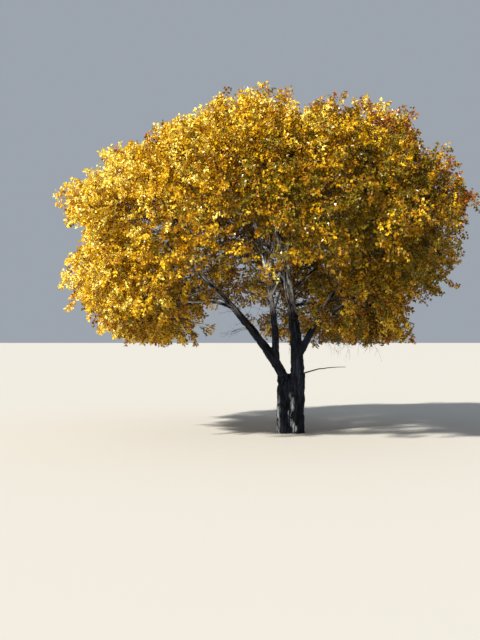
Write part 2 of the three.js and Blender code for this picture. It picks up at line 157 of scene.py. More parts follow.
LOW_BRANCH = {"on": "right_upright", "at": 0.018, "leave": (352, 30), "run": 1.09, "rise": 0.215}
LOW_BRANCH_RADII = (0.022, 0.008)
LOW_BRANCH_POINTS = 12
LOW_BRANCH_KINKS = 0.004
LOW_TWIG_TIP = 0.006  # the branch thins out past what a solid may
LIMB_RING_SPACING = 0.07
LIMB_SIDES = 14
LEAST_RINGS = 6

# Side boughs: every mass with no main limb takes the best place on the nearest one.
SIDE_RADIUS = 0.024
LARGEST_SIDE_RADIUS = 0.038
SIDE_THICKENING = 0.013
SIDE_SHARE = 0.72
SIDE_SPACE = 0.03
SIDE_ZONE = (0.2, 0.86)
PARENT_TREND = 0.8
BEAD_SPACING = 0.06
TURN_COST = 1.1
PLACE_SPACING = 0.26
FOOT_SHARE = 0.2
PARENT_SHARE = 0.5
PATH_STEP = 0.04
CURVE_STEPS = 200

# Twigs: the same rule as in the solids, with more and nearer shells and more joints.
COARSE_SHELLS = ((0.94, 0.73), (0.78, 1.06), (0.63, 1.5))
FINE_SHELLS = (
    (1.0, 0.62),
    (0.955, 0.33),
    (0.89, 0.31),
    (0.81, 0.36),
    (0.71, 0.46),
    (0.61, 0.62),
    (0.52, 0.9),
)
ROW_SHIFT = 0.382
STEM_REACH = 0.38
STEM_JOINTS = 14
STEM_ZONE = (0.12, 0.97)  # share of a stem at its first and last joint
STEM_PAST = 0.02  # share of a stem that goes on past its last twig
STEM_POINTS = 5
STEM_TIP_RADIUS = 0.009
TWIG_JOINTS = (0.35, 0.7)
TURN_DISLIKE = 2.7
LEAST_LINE = 0.3
OUTWARD_TREND = 0.7  # how much a spray points away from the foot of its mass
CHANCE_TREND = 0.6  # how much it points aside
SPRAY_BEFORE = 0.45  # share of a spray that lies before its place
UPWARD = 1.0  # how much the sprays at the top of the crown stand up
DROOP = 0.2  # how much the low ones hang
TWIG_GIRTH = 0.0034  # radius of a twig that carries one spray
GIRTH_POWER = 0.4  # how the radius grows with the number of sprays carried
THICK_TWIG = 0.0075  # twigs with a thicker foot than this get the rounder section
THICK_SIDES = 6
FINE_SIDES = 3
TWIG_BEND = 0.06  # of a twig's middle, as a share of its length
SPRAY_HALF_GIRTH = 0.7  # radius halfway up a spray, as a share of that at its root
SPRAY_TIP_RADIUS = 0.0012
SPRAY_DROOP = 0.04
PLACE_JITTER = 0.36  # of a place, as a share of the spacing
CROWN_RADIUS = 4.5  # that the bulges of the crown's surface are measured on
LUMP_SIZE = 0.95  # of those bulges
LUMP_LEVEL = 0.3  # of the noise, above which a bulge has its full height
HOLLOW_DEPTH = 0.16  # between bulges, as a share of the distance from the crown's middle
GAP_SIZE = 0.95  # of the hollows between bunches of sprays
GAP_LEVEL = -0.16  # of the noise, below which most sprays are left out
GAP_SHARE = 0.78  # of the sprays that are left out there

# The crown's outline as measured on the photograph, as X and Z of its tufts and bites.
OUTLINE = (
    (-4.0, 2.2), (-4.75, 2.65), (-5.15, 2.95), (-5.4, 3.34), (-4.98, 3.66), (-5.1, 4.05),
    (-4.6, 4.4), (-4.68, 4.68), (-5.12, 5.0), (-5.3, 5.45), (-4.7, 5.85), (-4.35, 6.1),
    (-4.42, 6.5), (-3.84, 6.62), (-3.25, 6.35), (-3.3, 7.02), (-2.8, 7.3), (-2.2, 7.2),
    (-1.75, 7.85), (-1.3, 7.72), (-0.64, 7.95), (-0.35, 7.55), (0.0, 7.9), (0.3, 7.35),
    (0.65, 7.6), (0.98, 7.75), (1.25, 7.35), (1.57, 7.88), (1.86, 7.65), (2.18, 7.5),
    (2.5, 7.45), (2.8, 7.3), (3.0, 6.85), (3.3, 6.5), (3.45, 6.3), (3.8, 6.4), (3.95, 6.1),
    (3.85, 5.75), (4.35, 5.39), (4.3, 5.05), (4.0, 4.7), (3.85, 4.37), (4.12, 3.96), (3.6, 3.86),
    (3.95, 3.42), (3.5, 3.2), (2.75, 3.0), (2.7, 2.15), (2.2, 1.9),
)
OUTLINE_DEPTHS = (1.0, 4.4)  # the outline is followed less behind the first, and not at all behind the last
OUTLINE_STEP = 3  # degrees between the directions in which the dome is compared with the outline
OUTLINE_PROBES = 0.12  # between the points of the dome that are compared with it
FRONT_PART = 1.6  # the outline is drawn by what lies before this depth
TUFTS = (0.06, 0.25)  # how far a spray's leaves stand out from its place, at the sides and at the top
BOX_MARGIN = np.array((0.16, 0.19, 0.16))  # from the places to the sides of the solids' box
LOWEST_PLACE = 2.2

# Places where the photo shows few leaves before the limbs: middle, radii and share of sprays kept.
THIN_PLACES = (
    ((-1.6, -3.2, 3.7), (1.6, 2.6, 0.9), 0.5),
    ((-1.4, -2.1, 2.25), (1.1, 3.0, 0.97), 0.0),
    ((-1.4, 2.9, 2.45), (1.05, 2.2, 0.85), 0.0),
    ((1.0, -1.6, 2.3), (0.95, 2.6, 0.8), 0.4),
)

# Sprays: a main shoot with side shoots up its length, and leaves on all of them.
SIDE_SHOOTS = 4
SHOOT_FOOT = 0.16  # share of the spray at its first side shoot
SHOOT_STEP = 0.19  # share of the spray between side shoots
SHOOT_LENGTH = 0.62  # of the first one, as a share of the spray's
SHOOT_SHORTENING = 0.09  # of each side shoot against the one before
SHOOT_LUCK = (0.75, 1.15)
SHOOT_SPREAD = 50  # degrees between a side shoot and its spray
SHOOT_TWIST = 0.3
SHOOT_LIFTS = (-0.45, 0.25)
SHOOT_UPWARD = 0.5  # how much the side shoots stand up, as a share of what sprays do
SHOOT_RADII = (0.0019, 0.0009)
MAIN_LEAVES = 14
SHOOT_LEAVES = 12
FIRST_LEAVES = (0.12, 0.22)  # share of a main and of a side shoot at its first leaf
STALK = 0.022  # between a shoot and its leaf
LEAF_ALONG = 0.45  # how much a leaf points along its shoot
LEAF_ASIDE = 0.85  # how much by chance
LEAF_DOWN = 0.42
FACE_OUTWARD = 0.65  # how much a leaf faces outwards
FACE_UP = 0.25
FACE_ASIDE = 1.15
LEAF_SPREAD = 0.22  # how far the smallest and largest leaves differ from the usual
LEAF_SHOULDER = 0.22  # how far below its middle a leaf is widest, as a share of its length

# Dead twigs on the limbs, across the open place, and hanging from the leafy ones on the right.
BARE_TWIGS = 170
BARE_ZONE = (0.2, 0.97)
BARE_LENGTHS = (0.25, 0.8)
BARE_RADIUS = 0.005
BARE_POINTS = 6
BARE_TAPER = 0.75
BARE_BENDS = (0.08, 0.34)
BARE_KINKS = 0.03  # of a dead twig, as a share of its length
BARE_DROOP = 0.12
BARE_TRENDS = (0.5, 1.3)  # how much a dead twig goes along its limb
BARE_FALLS = (0, 0.5)
BARE_FORK_COUNTS = (2, 5)
BARE_FORK_ZONE = (0.3, 0.85)
BARE_FORK_TURNS = (0.6, 1.0)
BARE_FORK_LENGTHS = (0.2, 0.42)
BARE_FORK_GIRTH = 0.5
WINDOW_LIMB = "left_bough"  # its dead twigs cross the open place beneath it
WINDOW_TWIGS = 18
WINDOW_ZONE = (0.3, 0.75)
HANGING_TWIGS = 60
HANGING_BELOW = 2.6  # the height under which dead twigs hang from the leafy ones
HANGING_SIDE = (0.0, 1.9)  # the same, from left to right
HANGING_SWING = 0.8
HANGING_RADIUS = BARE_RADIUS * 1.1

# Tints, each with a slot name that nothing reads. How brown a spray is decides between the first six.
TINTS = {
    "pale_gold": "gold",
    "gold": "gold",
    "deep_gold": "gold",
    "amber": "amber",
    "bronze": "amber",
    "olive": "olive",
    "russet": "russet",
}
TINT_LIMITS = (0.12, 0.34, 0.52, 0.7, 0.91)  # of brownness, between the tints from pale gold to olive
TINT_SCATTER = 0.27  # how far the shoots of one spray differ in brownness
# Brownness by place is partly the leaves' own tints and partly painted light and shade: browner to the right
# and in the middle as painted shade, golder towards the top as painted sunlight, and low down browner on the
# left and golder on the right.
BROWN_LEVEL = 0.36
BROWN_AND_SHADE_RIGHT = 0.46
BROWN_AND_SHADE_INSIDE = 0.57
BROWN_AND_SHADE_LOW = 0.15
GOLD_AND_SUN_HIGH = 0.25
GOLD_AND_SUN_LOW_RIGHT = 0.25
BROWN_PATCHES = ((0.9, 0.25), (2.3, 0.3))  # patches to the metre, and how brown they are
RUSSET_LEAST = 0.06  # share of russet shoots round the rim, and the least at the upper right
RUSSET_MOST = 0.36
RUSSET_GROWTH = 0.6  # of that share towards the right
RUSSET_START = -0.1  # share of the crown's half width where it starts to grow
RUSSET_RIMS = (0.7, 0.75)  # dome level past which there are russet shoots, upper right and elsewhere
RUSSET_HEIGHT = 0.1

# Bark's skin and relief
FLOW_STRETCH = 6.5  # how much longer a ridge of bark is than it is wide
LIMB_SHIFT = np.array((1.7, 2.3, 3.1))  # sets the patterns of two limbs apart
FULL_RELIEF_RADIUS = 0.14  # limbs this thick have the full relief of old bark
LEAST_RELIEF = 0.12
FORK_BLEND = 0.07  # how far two limbs' bark runs together at a fork
FORK_SOFTENING = 14
SOFTENING_LEVELS = 10
FINE_BARK_TOP = FORK_HEIGHT + 0.1
CORNER_BATCH = 4000
FURROWS = {"Scale": 0.62, "Detail": 2.0, "Roughness": 0.55, "Distortion": 0.5}  # to one ridge spacing
FURROW_WIDTH = 0.085
CRACKS = 0.8  # to one ridge spacing
CRACK_BENDS = {"Scale": 0.9, "Detail": 2.0}
CRACK_BENDING = (1.6, 1.6, 1.6)
CRACK_WIDTH = 0.22
CRACK_DEPTH = 0.55
GRAIN_DEPTH = 0.4
RAW_LEVEL = 0.65  # of the ridges' height, where the skin lay before

# Real sizes of the marks in the patterns, in millimetres.
KNOB_MM = 290
GRAIN_MM = 22
BLOTCH_MM = 140  # damp and dry bark
PEEL_MM = 70  # smooth streaks on the upper limbs
BARE_STREAK_MM = 45
SEAM_BEND_MM = 330
FIBRE_MM = 6  # real ones are 1 to 2 mm wide, and these are as coarse as they need to show
SPECK_MM = 40  # real ones are 3 mm wide, and these are as coarse as they need to show

# Where a pattern of the bark begins and where it is full, as heights, places or levels of noise.
# From these heights the young bark is painted near white, as sunlight on the upper limbs.
YOUNG_AND_SUNLIT_HEIGHT = {"From Min": 2.65, "From Max": 3.2}
PEELING = {"From Min": 0.44, "From Max": 0.54, "To Min": 0.15}
FIBRE_SHADES = {"From Min": 0.3, "From Max": 0.7, "To Min": 0.72, "To Max": 1.15}
RIDGE_EDGE = {"From Min": 0.1, "From Max": 0.8}
BARE_HEIGHT = {"From Min": 0.95, "From Max": 0.65}
BARE_STREAKS = {"From Min": 0.46, "From Max": 0.55}
BARE_BREAKS = {"From Min": 0.4, "From Max": 0.5}
BARE_SEAM = {"From Min": 0.055, "From Max": 0.025}  # distance from the seam
# How far left on the trunk the pale streaks start and are full: painted sunlight on its lit edge.
SUNLIT_LEFT_EDGE = {"From Min": -0.22, "From Max": -0.28}
SEAM_SWING = 0.3
SEAM_PLACE = -0.11

# Stage
FLOOR_HALF = 600.0
FLOOR_COLOUR = "#c9c6bf"
SKY_COLOUR = "#d6e0ec"
SKY_STRENGTH = 0.5
SUN_WAY = (-0.64, -0.56, 0.62)  # towards the key light, upper left and a little to the front
SUN_STRENGTH = 6.4
SUN_SPREAD = math.radians(3)
SUN_COLOUR = (1.0, 0.95, 0.86)
CAMERA_PLACE = (-1.136, -20.0, 2.1)
CAMERA_PITCH = 1.3  # degrees above level
CAMERA_LENS = 49.5
CAMERA_REACH = 2000

# Added to the seed, so that each step draws its own numbers.
TWIG_SEED = 1
SHOOT_SEED = 2
LEAF_SEED = 3

# Kinds of nodes that come often.
MATH = "ShaderNodeMath"
VECTOR_MATH = "ShaderNodeVectorMath"
RANGE = "ShaderNodeMapRange"
NOISE = "ShaderNodeTexNoise"
NAMED = "GeometryNodeInputNamedAttribute"
MIX = "ShaderNodeMix"
SURFACE = "ShaderNodeBsdfPrincipled"
OUTPUT = "ShaderNodeOutputMaterial"

# A Mix node's sockets by number, because several share a name: its share, two numbers and two colours.
SHARE = 0
NEAR, FAR = 2, 3
DARK, LIGHT = 6, 7

Mass = namedtuple("Mass", "middle outward entry")
Twig = namedtuple("Twig", "foot root along parent share leafy")
Growth = namedtuple("Growth", "name mass stem twigs carried")
Sprays = namedtuple("Sprays", "roots alongs feet ends")


def linear(colour):
    """A hex colour as linear red, green, blue and alpha."""
    shades = [int(colour[i : i + 2], 16) / 255 for i in (1, 3, 5)]
    return (*(s / 12.92 if s <= 0.04045 else ((s + 0.055) / 1.055) ** 2.4 for s in shades), 1.0)


def unit(rows):
    """Vectors brought to length 1."""
    rows = np.asarray(rows, float)
    return rows / np.linalg.norm(rows, axis=-1, keepdims=True)


def heading(azimuth, slope=0.0):
    """The direction at an azimuth from +X towards +Y, sloping up, both in degrees."""
    turn, rise = math.radians(azimuth), math.radians(slope)
    return np.array((math.cos(turn) * math.cos(rise), math.sin(turn) * math.cos(rise), math.sin(rise)))


def per_metre(size):
    """The scale of a pattern whose marks have this size in millimetres."""
    return 1000 / size


# Crown space


def dome_level(points):
    """Below 1 inside the dome and above 1 outside it."""
    offset = points - CROWN
    reach = np.where(offset[..., 2] > 0, CROWN_RISE, CROWN_DROP)
    shares = (offset[..., 0] / CROWN_HALF_WIDTH, offset[..., 1] / CROWN_HALF_DEPTH, offset[..., 2] / reach)
    return sum(abs(share) ** CROWN_SQUARENESS for share in shares) ** (1 / CROWN_SQUARENESS)


def height_share(points):
    """0 up to the crown's widest height, and 1 at its top."""
    return np.clip((points[..., 2] - CROWN[2]) / CROWN_RISE, 0, 1)


def skirt_height(points):
    """Height of the crown's lower edge on the side where each point lies."""
    azimuth = np.degrees(np.arctan2(points[..., 1] - CROWN[1], points[..., 0] - CROWN[0]))
    height = np.zeros(azimuth.shape)
    for opening in SKIRT_OPENINGS:
        off = (azimuth - opening["azimuth"] + 180) % 360 - 180
        height = np.maximum(height, opening["height"] * np.exp(-((off / opening["spread"]) ** 4)))
    return height


def make_masses():
    """Middle, outward direction and entry of each mass, by name."""
    masses = {}
    for tier in TIERS:
        for azimuth in tier["azimuths"]:
            side = heading(azimuth) * tier["out"]
            middle = np.array((CROWN[0] + side[0], CROWN[1] + side[1] * FLATNESS, tier["height"]))
            outward = unit(middle - CROWN_HEART)
            masses[f"{tier['row']}_{azimuth}"] = Mass(middle, outward, middle - outward * STEM_DEPTH)
    return masses


# Limbs


def bezier(control, steps):
    """Points of a cubic curve."""
    t = np.asarray(steps, float)[:, None]
    a, b, c, d = control
    return (1 - t) ** 3 * a + 3 * (1 - t) ** 2 * t * b + 3 * (1 - t) * t**2 * c + t**3 * d


class Limb:
    """One tapering limb on a cubic curve, measured by shares of its length."""

    def __init__(self, name, control, radii, parent=None):
        self.name, self.control, self.radii, self.parent = name, control, radii, parent
        self.steps = np.linspace(0, 1, CURVE_STEPS + 1)
        line = bezier(control, self.steps)
        gaps = np.linalg.norm(np.diff(line, axis=0), axis=1)
        self.lengths = np.concatenate(([0], np.cumsum(gaps)))
        self.length = self.lengths[-1]
        self.beads = np.linspace(0, 1, math.ceil(self.length / BEAD_SPACING) + 1)
        self.bead_points = self.points(self.beads)
        self.bead_radii = self.radius(self.beads)
        self.bead_tangents = self.tangents(self.beads)

    def step_at(self, shares):
        return np.interp(np.asarray(shares) * self.length, self.lengths, self.steps)

    def points(self, shares):
        return bezier(self.control, self.step_at(shares))

    def tangents(self, shares):
        t = self.step_at(shares)[:, None]
        a, b, c, d = self.control
        return unit((1 - t) ** 2 * (b - a) + 2 * (1 - t) * t * (c - b) + t**2 * (d - c))

    def radius(self, shares):
        foot, tip = self.radii
        return foot + (tip - foot) * np.asarray(shares) ** TAPER_POWER


def limb_control(foot, leave, tip, arrive, pulls=USUAL_PULLS):
    """Four points of a curve that leaves its foot in one direction and arrives at its tip in another."""
    span = np.linalg.norm(tip - foot)
    return np.array((foot, foot + leave * span * pulls[0], tip - arrive * span * pulls[1], tip))


def make_main_limbs(masses):
    limbs = {}
    for plan in MAIN_LIMBS:
        mass = masses[plan.feeds]
        parent = limbs.get(plan.on)
        if parent:
            foot = parent.points([plan.at])[0]
        else:
            foot = np.array((plan.at, 0, FORK_HEIGHT - FOOT_DEPTH))
        control = limb_control(foot, heading(*plan.leave), mass.entry, mass.outward, plan.pulls)
        limbs[plan.name] = Limb(plan.name, control, (plan.radius, BOUGH_TIP_RADIUS), parent)
    return limbs


def make_low_branch(limbs):
    parent = limbs[LOW_BRANCH["on"]]
    foot = parent.points([LOW_BRANCH["at"]])[0]
    side = heading(LOW_BRANCH["leave"][0])
    end = foot + side * LOW_BRANCH["run"] + UP * LOW_BRANCH["rise"]
    control = limb_control(foot, heading(*LOW_BRANCH["leave"]), end, side)
    return Limb("low_branch", control, LOW_BRANCH_RADII, parent)


def path_space(control, parent, limbs):
    """The least gap from a path to the limbs, past the part of it that may lie close to them."""
    shares = np.arange(FOOT_SHARE, 1, PATH_STEP)
    points = bezier(control, shares)
    least = math.inf
    for limb in limbs:
        tested = points[shares >= PARENT_SHARE] if limb is parent else points
        gaps = np.linalg.norm(tested[:, None] - limb.bead_points, axis=2) - limb.bead_radii
        least = min(least, gaps.min())
    return least


def make_side_bough(name, mass, limbs, mains):
    best = None
    for limb in mains:
        feet = [other.control[0] for other in limbs if other.parent is limb]
        for share, point, tangent, radius in zip(
            limb.beads, limb.bead_points, limb.bead_tangents, limb.bead_radii
        ):
            if not SIDE_ZONE[0] <= share <= SIDE_ZONE[1]:
                continue
            if any(np.linalg.norm(foot - point) < PLACE_SPACING for foot in feet):
                continue
            way = mass.entry - point
            aim = unit(way)
            cost = np.linalg.norm(way) * (1 + TURN_COST * (1 - tangent @ aim))
            if best and cost >= best[0]:
                continue
            control = limb_control(point, unit(tangent * PARENT_TREND + aim), mass.entry, mass.outward)
            if path_space(control, limb, limbs) >= SIDE_SPACE + LARGEST_SIDE_RADIUS:
                best = (cost, control, limb, radius)
    _, control, parent, room = best
    draft = Limb(name, control, (SIDE_RADIUS, BOUGH_TIP_RADIUS), parent)
    foot = min(SIDE_RADIUS + SIDE_THICKENING * draft.length, room * SIDE_SHARE)
    return Limb(name, control, (foot, BOUGH_TIP_RADIUS), parent)


@functools.cache
def tree_plan():
    """The masses, the limbs that the bark covers in the order of the solids, and the low branch."""
    masses = make_masses()
    main_limbs = make_main_limbs(masses)
    low_branch = make_low_branch(main_limbs)
    mains = list(main_limbs.values())
    fed = [plan.feeds for plan in MAIN_LIMBS]
    sides = []
    for name, mass in masses.items():
        if name not in fed:
            sides.append(make_side_bough(f"bough_{name}", mass, [*mains, low_branch, *sides], mains))
    return masses, [*mains, *sides], low_branch


# Twigs and sprays


def shell_places(level, spacing):
    """Even rows of places round one shell of the dome."""
    slopes = np.radians(np.linspace(-90, 90, 181))
    power = 2 / CROWN_SQUARENESS
    rise = np.sin(slopes)
    reach = np.where(rise > 0, CROWN_RISE, CROWN_DROP)
    out = CROWN_HALF_WIDTH * np.clip(np.cos(slopes), 0, 1) ** power
    height = np.sign(rise) * reach * abs(rise) ** power
    lengths = np.concatenate(([0], np.cumsum(np.hypot(np.diff(out), np.diff(height)))))
    rows = round(lengths[-1] * level / spacing)
    places = []
    for row, along in enumerate(np.linspace(0, lengths[-1], rows + 1)):
        ring = np.interp(along, lengths, out)
        count = max(1, round(2 * math.pi * ring * level / spacing))
        turns = (np.arange(count) + row * ROW_SHIFT) * 2 * math.pi / count
        level_height = np.full(count, np.interp(along, lengths, height))
        places.append(np.stack((np.cos(turns) * ring, np.sin(turns) * ring * FLATNESS, level_height), 1))
    offset = np.concatenate(places)
    return CROWN + offset * (level / dome_level(CROWN + offset))[:, None]


def lumpy(points):
    """Bulges in the crown's surface: between them the points move in towards the crown's middle."""
    spots = [Vector(unit(point - CROWN) * CROWN_RADIUS / LUMP_SIZE) for point in points]
    swell = np.array([noise.noise(spot) for spot in spots])
    sunk = HOLLOW_DEPTH * np.clip(LUMP_LEVEL - swell, 0, 1)
    return CROWN + (points - CROWN) * (1 - sunk)[:, None]


def seen_from_front(points):
    """How far round and how far out from the crown's middle the camera sees each point, at its depth."""
    eye = np.array(CAMERA_PLACE)
    seen = eye + (points - eye) * (-eye[1] / (points[:, 1] - eye[1]))[:, None]
    off = seen - CROWN
    return np.arctan2(off[:, 2], off[:, 0]), np.hypot(off[:, 0], off[:, 2])


@functools.cache
def outline_shares():
    """How much the crown must shrink or grow in each direction to be seen within the measured outline."""
    shell = lumpy(shell_places(1.0, OUTLINE_PROBES))
    turn, reach = seen_from_front(shell[shell[:, 1] < FRONT_PART])
    rim = np.array(OUTLINE) - CROWN[[0, 2]]
    rim_turn = np.arctan2(rim[:, 1], rim[:, 0])
    order = np.argsort(rim_turn)
    turns = np.radians(np.arange(-180, 180, OUTLINE_STEP))
    off = (turn[None] - turns[:, None] + math.pi) % (2 * math.pi) - math.pi
    dome = np.where(abs(off) < math.radians(OUTLINE_STEP), reach, 0).max(1)
    wanted = np.interp(turns, rim_turn[order], np.linalg.norm(rim, axis=1)[order], period=2 * math.pi)
    tuft = TUFTS[0] + (TUFTS[1] - TUFTS[0]) * np.clip(np.sin(turns), 0, 1)
    return turns, (wanted - tuft) / dome


def outlined(points):
    """Moves points in or out, so that the crown's edge is seen where the outline was measured."""
    turns, shares = outline_shares()
    turn, _ = seen_from_front(points)
    share = np.interp(turn, turns, shares, period=2 * math.pi)
    start, end = OUTLINE_DEPTHS
    weight = 1 - np.clip((points[:, 1] - start) / (end - start), 0, 1) ** 2
    factor = 1 + (share - 1) * weight
    fitted = CROWN + (points - CROWN) * np.stack((factor, np.ones(len(points)), factor), 1)
    low, high = (np.array(corner) for corner in CAD_BOX)
    return np.clip(fitted, low + BOX_MARGIN, high - BOX_MARGIN)


def kept(points, draw):
    """Leaves out sprays in the hollows between bunches, and before limbs that show."""
    bunch = np.array([noise.noise(Vector(point) / GAP_SIZE) for point in points])
    chance = np.where(bunch < GAP_LEVEL, 1 - GAP_SHARE, 1.0)
    for middle, radii, share in THIN_PLACES:
        near = np.linalg.norm((points - np.array(middle)) / np.array(radii), axis=1) < 1
        chance = np.where(near, chance * share, chance)
    return points[draw.uniform(0, 1, len(points)) < chance]


def crown_places(shells, closeness, draw):
    """Places on shells of the dome, each moved a little by chance, within the measured outline."""
    lots = []
    for level, gap in shells:
        spacing = gap * closeness
        even = shell_places(level, spacing)
        lots.append(even + draw.uniform(-1, 1, even.shape) * spacing * PLACE_JITTER)
    points = lumpy(np.concatenate(lots))
    points = outlined(points[points[:, 2] > skirt_height(points)])
    return points[points[:, 2] > LOWEST_PLACE]


def shared_out(points, middles):
    """Places kept within reach of the nearest mass, and the number of that mass."""
    nearest = np.linalg.norm(points[:, None] - middles, axis=2).argmin(1)
    off = points - middles[nearest]
    distance = np.linalg.norm(off, axis=1, keepdims=True)
    return middles[nearest] + off * np.minimum(1, MASS_REACH / distance), nearest


def grow_mass(mass, coarse, fine, spray_length, draw):
    """The stem of one mass and its twigs. Each twig goes from the best joint to the root of its spray.

    Coarse places come first, and their sprays stay without leaves.
    """
    start = mass.entry
    stem = mass.middle + mass.outward * STEM_REACH - start
    shares = np.linspace(*STEM_ZONE, STEM_JOINTS)
    joints = start + stem * shares[:, None]
    trends = np.tile(mass.outward, (STEM_JOINTS, 1))
    owners = [(-1, share) for share in shares]
    twigs = []
    for leafy, places in ((False, coarse), (True, fine)):
        for place in places[np.argsort(np.linalg.norm(places - start, axis=1))]:
            outward = unit(place - CROWN_HEART)
            sideways = unit(np.cross(draw.uniform(-1, 1, 3), outward))
            lift = UP * (UPWARD * height_share(place) - DROOP)
            along = unit(unit(place - start) * OUTWARD_TREND + sideways * CHANCE_TREND + lift)
            root = place - along * spray_length * SPRAY_BEFORE
            way = root - joints
            length = np.linalg.norm(way, axis=1)
            line = way @ along / length
            turn = (way * trends).sum(1) / length
            cost = np.where(line < LEAST_LINE, np.inf, length * (TURN_DISLIKE - line - turn))
            best = int(np.argmin(cost))
            if cost[best] == np.inf:
                continue
            twigs.append(Twig(joints[best].copy(), root, along, *owners[best], leafy))
            trend = way[best] / length[best]
            grown = [joints[best] + way[best] * share for share in TWIG_JOINTS]
            joints = np.concatenate((np.delete(joints, best, 0), grown))
            trends = np.concatenate((np.delete(trends, best, 0), [trend] * len(TWIG_JOINTS)))
            del owners[best]
            owners += [(len(twigs) - 1, share) for share in TWIG_JOINTS]
    return stem, twigs


@functools.cache
def grow_crown(spray_length, density, seed):
    """Every stem and twig of the crown, with the number of sprays that each carries."""
    masses = tree_plan()[0]
    draw = np.random.default_rng(seed)
    middles = np.array([mass.middle for mass in masses.values()])
    coarse = crown_places(COARSE_SHELLS, 1, draw)
    fine = kept(crown_places(FINE_SHELLS, density**-0.5, draw), draw)
    coarse, coarse_home = shared_out(coarse, middles)
    fine, fine_home = shared_out(fine, middles)
    grown = []
    for number, (name, mass) in enumerate(masses.items()):
        homes = (coarse[coarse_home == number], fine[fine_home == number])
        stem, twigs = grow_mass(mass, *homes, spray_length, draw)
        carried = np.array([float(twig.leafy) for twig in twigs])
        for index in reversed(range(len(twigs))):
            if twigs[index].parent >= 0:
                carried[twigs[index].parent] += carried[index]
        grown.append(Growth(name, mass, stem, twigs, carried))
    return grown


def grow_sprays(sizes):
    """The grown crown, and its sprays: root, direction, and feet and ends of the side shoots."""
    grown = grow_crown(sizes.spray_length, sizes.density, sizes.seed)
    leafy = [twig for growth in grown for twig in growth.twigs if twig.leafy]
    roots = np.array([twig.root for twig in leafy])
    alongs = np.array([twig.along for twig in leafy])
    draw = np.random.default_rng(sizes.seed + SHOOT_SEED)
    count = len(roots)
    across = unit(roots - CROWN_HEART) + draw.uniform(-SHOOT_TWIST, SHOOT_TWIST, (count, 3))
    across = unit(np.cross(alongs, across))
    spread = math.radians(SHOOT_SPREAD)
    rise = SHOOT_UPWARD * UPWARD * height_share(roots)[:, None]
    feet, ends = [], []
    for number in range(SIDE_SHOOTS):
        side = 1 if number % 2 else -1
        lift = (draw.uniform(*SHOOT_LIFTS, (count, 1)) + rise) * UP
        way = unit(alongs * math.cos(spread) + across * side * math.sin(spread) + lift)
        usual = sizes.spray_length * (SHOOT_LENGTH - SHOOT_SHORTENING * number)
        foot = roots + alongs * sizes.spray_length * (SHOOT_FOOT + SHOOT_STEP * number)
        feet.append(foot)
        ends.append(foot + way * usual * draw.uniform(*SHOOT_LUCK, (count, 1)))
    return grown, Sprays(roots, alongs, np.array(feet), np.array(ends))


# Meshes


def add_object(name, content):
    """Puts a new object in the scene."""
    added = bpy.data.objects.new(name, content)
    bpy.context.collection.objects.link(added)
    return added


def mesh_of(name, corners, faces):
    mesh = bpy.data.meshes.new(name)
    mesh.from_pydata(corners, [], faces)
    mesh.update()
    return mesh


def loft(rings):
    """A closed tube through rings of points, as corners and faces."""
    count, sides = rings.shape[:2]
    ring, side = np.meshgrid(np.arange(count - 1) * sides, np.arange(sides), indexing="ij")
    after = (side + 1) % sides
    walls = np.stack((ring + side, ring + after, ring + sides + after, ring + sides + side), -1)
    caps = [list(range(sides))[::-1], list(range((count - 1) * sides, count * sides))]
    return rings.reshape(-1, 3), [*walls.reshape(-1, 4).tolist(), *caps]


def join_shapes(name, shapes):
    """One mesh from several lots of corners and faces."""
    corners, faces, start = [], [], 0
    for some_corners, some_faces in shapes:
        corners.append(some_corners)
        faces += [[corner + start for corner in face] for face in some_faces]
        start += len(some_corners)
    return mesh_of(name, np.concatenate(corners).tolist(), faces)


def lines_mesh(name, lines):
    """A mesh of open lines. Each line is a list of points and a list of radii."""
    corners = np.concatenate([points for points, _ in lines])
    ends = np.cumsum([len(points) for points, _ in lines])
    starts = np.concatenate(([0], ends[:-1]))
    edges = [(i, i + 1) for start, end in zip(starts, ends) for i in range(start, end - 1)]
    mesh = bpy.data.meshes.new(name)
    mesh.from_pydata(corners.tolist(), edges, [])
    store(mesh, "thickness", np.concatenate([radii for _, radii in lines]))
    return mesh


def store(mesh, name, values):
    """Keeps a number or a vector for each corner of a mesh."""
    kind, key = ("FLOAT_VECTOR", "vector") if values.ndim > 1 else ("FLOAT", "value")
    attribute = mesh.attributes.new(name, kind, "POINT")
    attribute.data.foreach_set(key, np.ascontiguousarray(values, np.float32).ravel())


def place_piece(name, mesh, nodes=()):
    """Puts a finished mesh in the scene as a piece that rides on the tree and stands for its solids."""
    mesh.name = name
    piece = add_object(name, mesh)
    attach(piece, "root")
    if nodes:
        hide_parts(*nodes)


# Node trees


def add_node(tree, kind, inputs, **settings):
    """Adds a node with its settings. Each input is a value, or the socket or node that it is linked from."""
    node = tree.nodes.new(kind)
    for name, value in settings.items():
        setattr(node, name, value)
    for key, value in inputs.items():
        if isinstance(value, bpy.types.Node):
            value = next(output for output in value.outputs if output.enabled)
        if isinstance(value, bpy.types.NodeSocket):
            tree.links.new(value, node.inputs[key])
        else:
            node.inputs[key].default_value = value
    return node


def new_tree(name, **inputs):
    """A geometry tree with named inputs, the function that adds its nodes, and what it is given."""
    tree = bpy.data.node_groups.new(name, "GeometryNodeTree")
    tree.interface.new_socket("Geometry", in_out="OUTPUT", socket_type="NodeSocketGeometry")
    for label, kind in {"Geometry": "Geometry", **inputs, "Material": "Material"}.items():
        tree.interface.new_socket(label, in_out="INPUT", socket_type=f"NodeSocket{kind}")
    add = functools.partial(add_node, tree)
    return tree, add, add("NodeGroupInput", {}).outputs


def end_tree(add, geometry, material):
    """Ends a geometry tree in real faces that carry their material."""
    real = add("GeometryNodeRealizeInstances", {0: geometry})
    coloured = add("GeometryNodeSetMaterial", {0: real, "Material": material})
    add("NodeGroupOutput", {0: coloured})


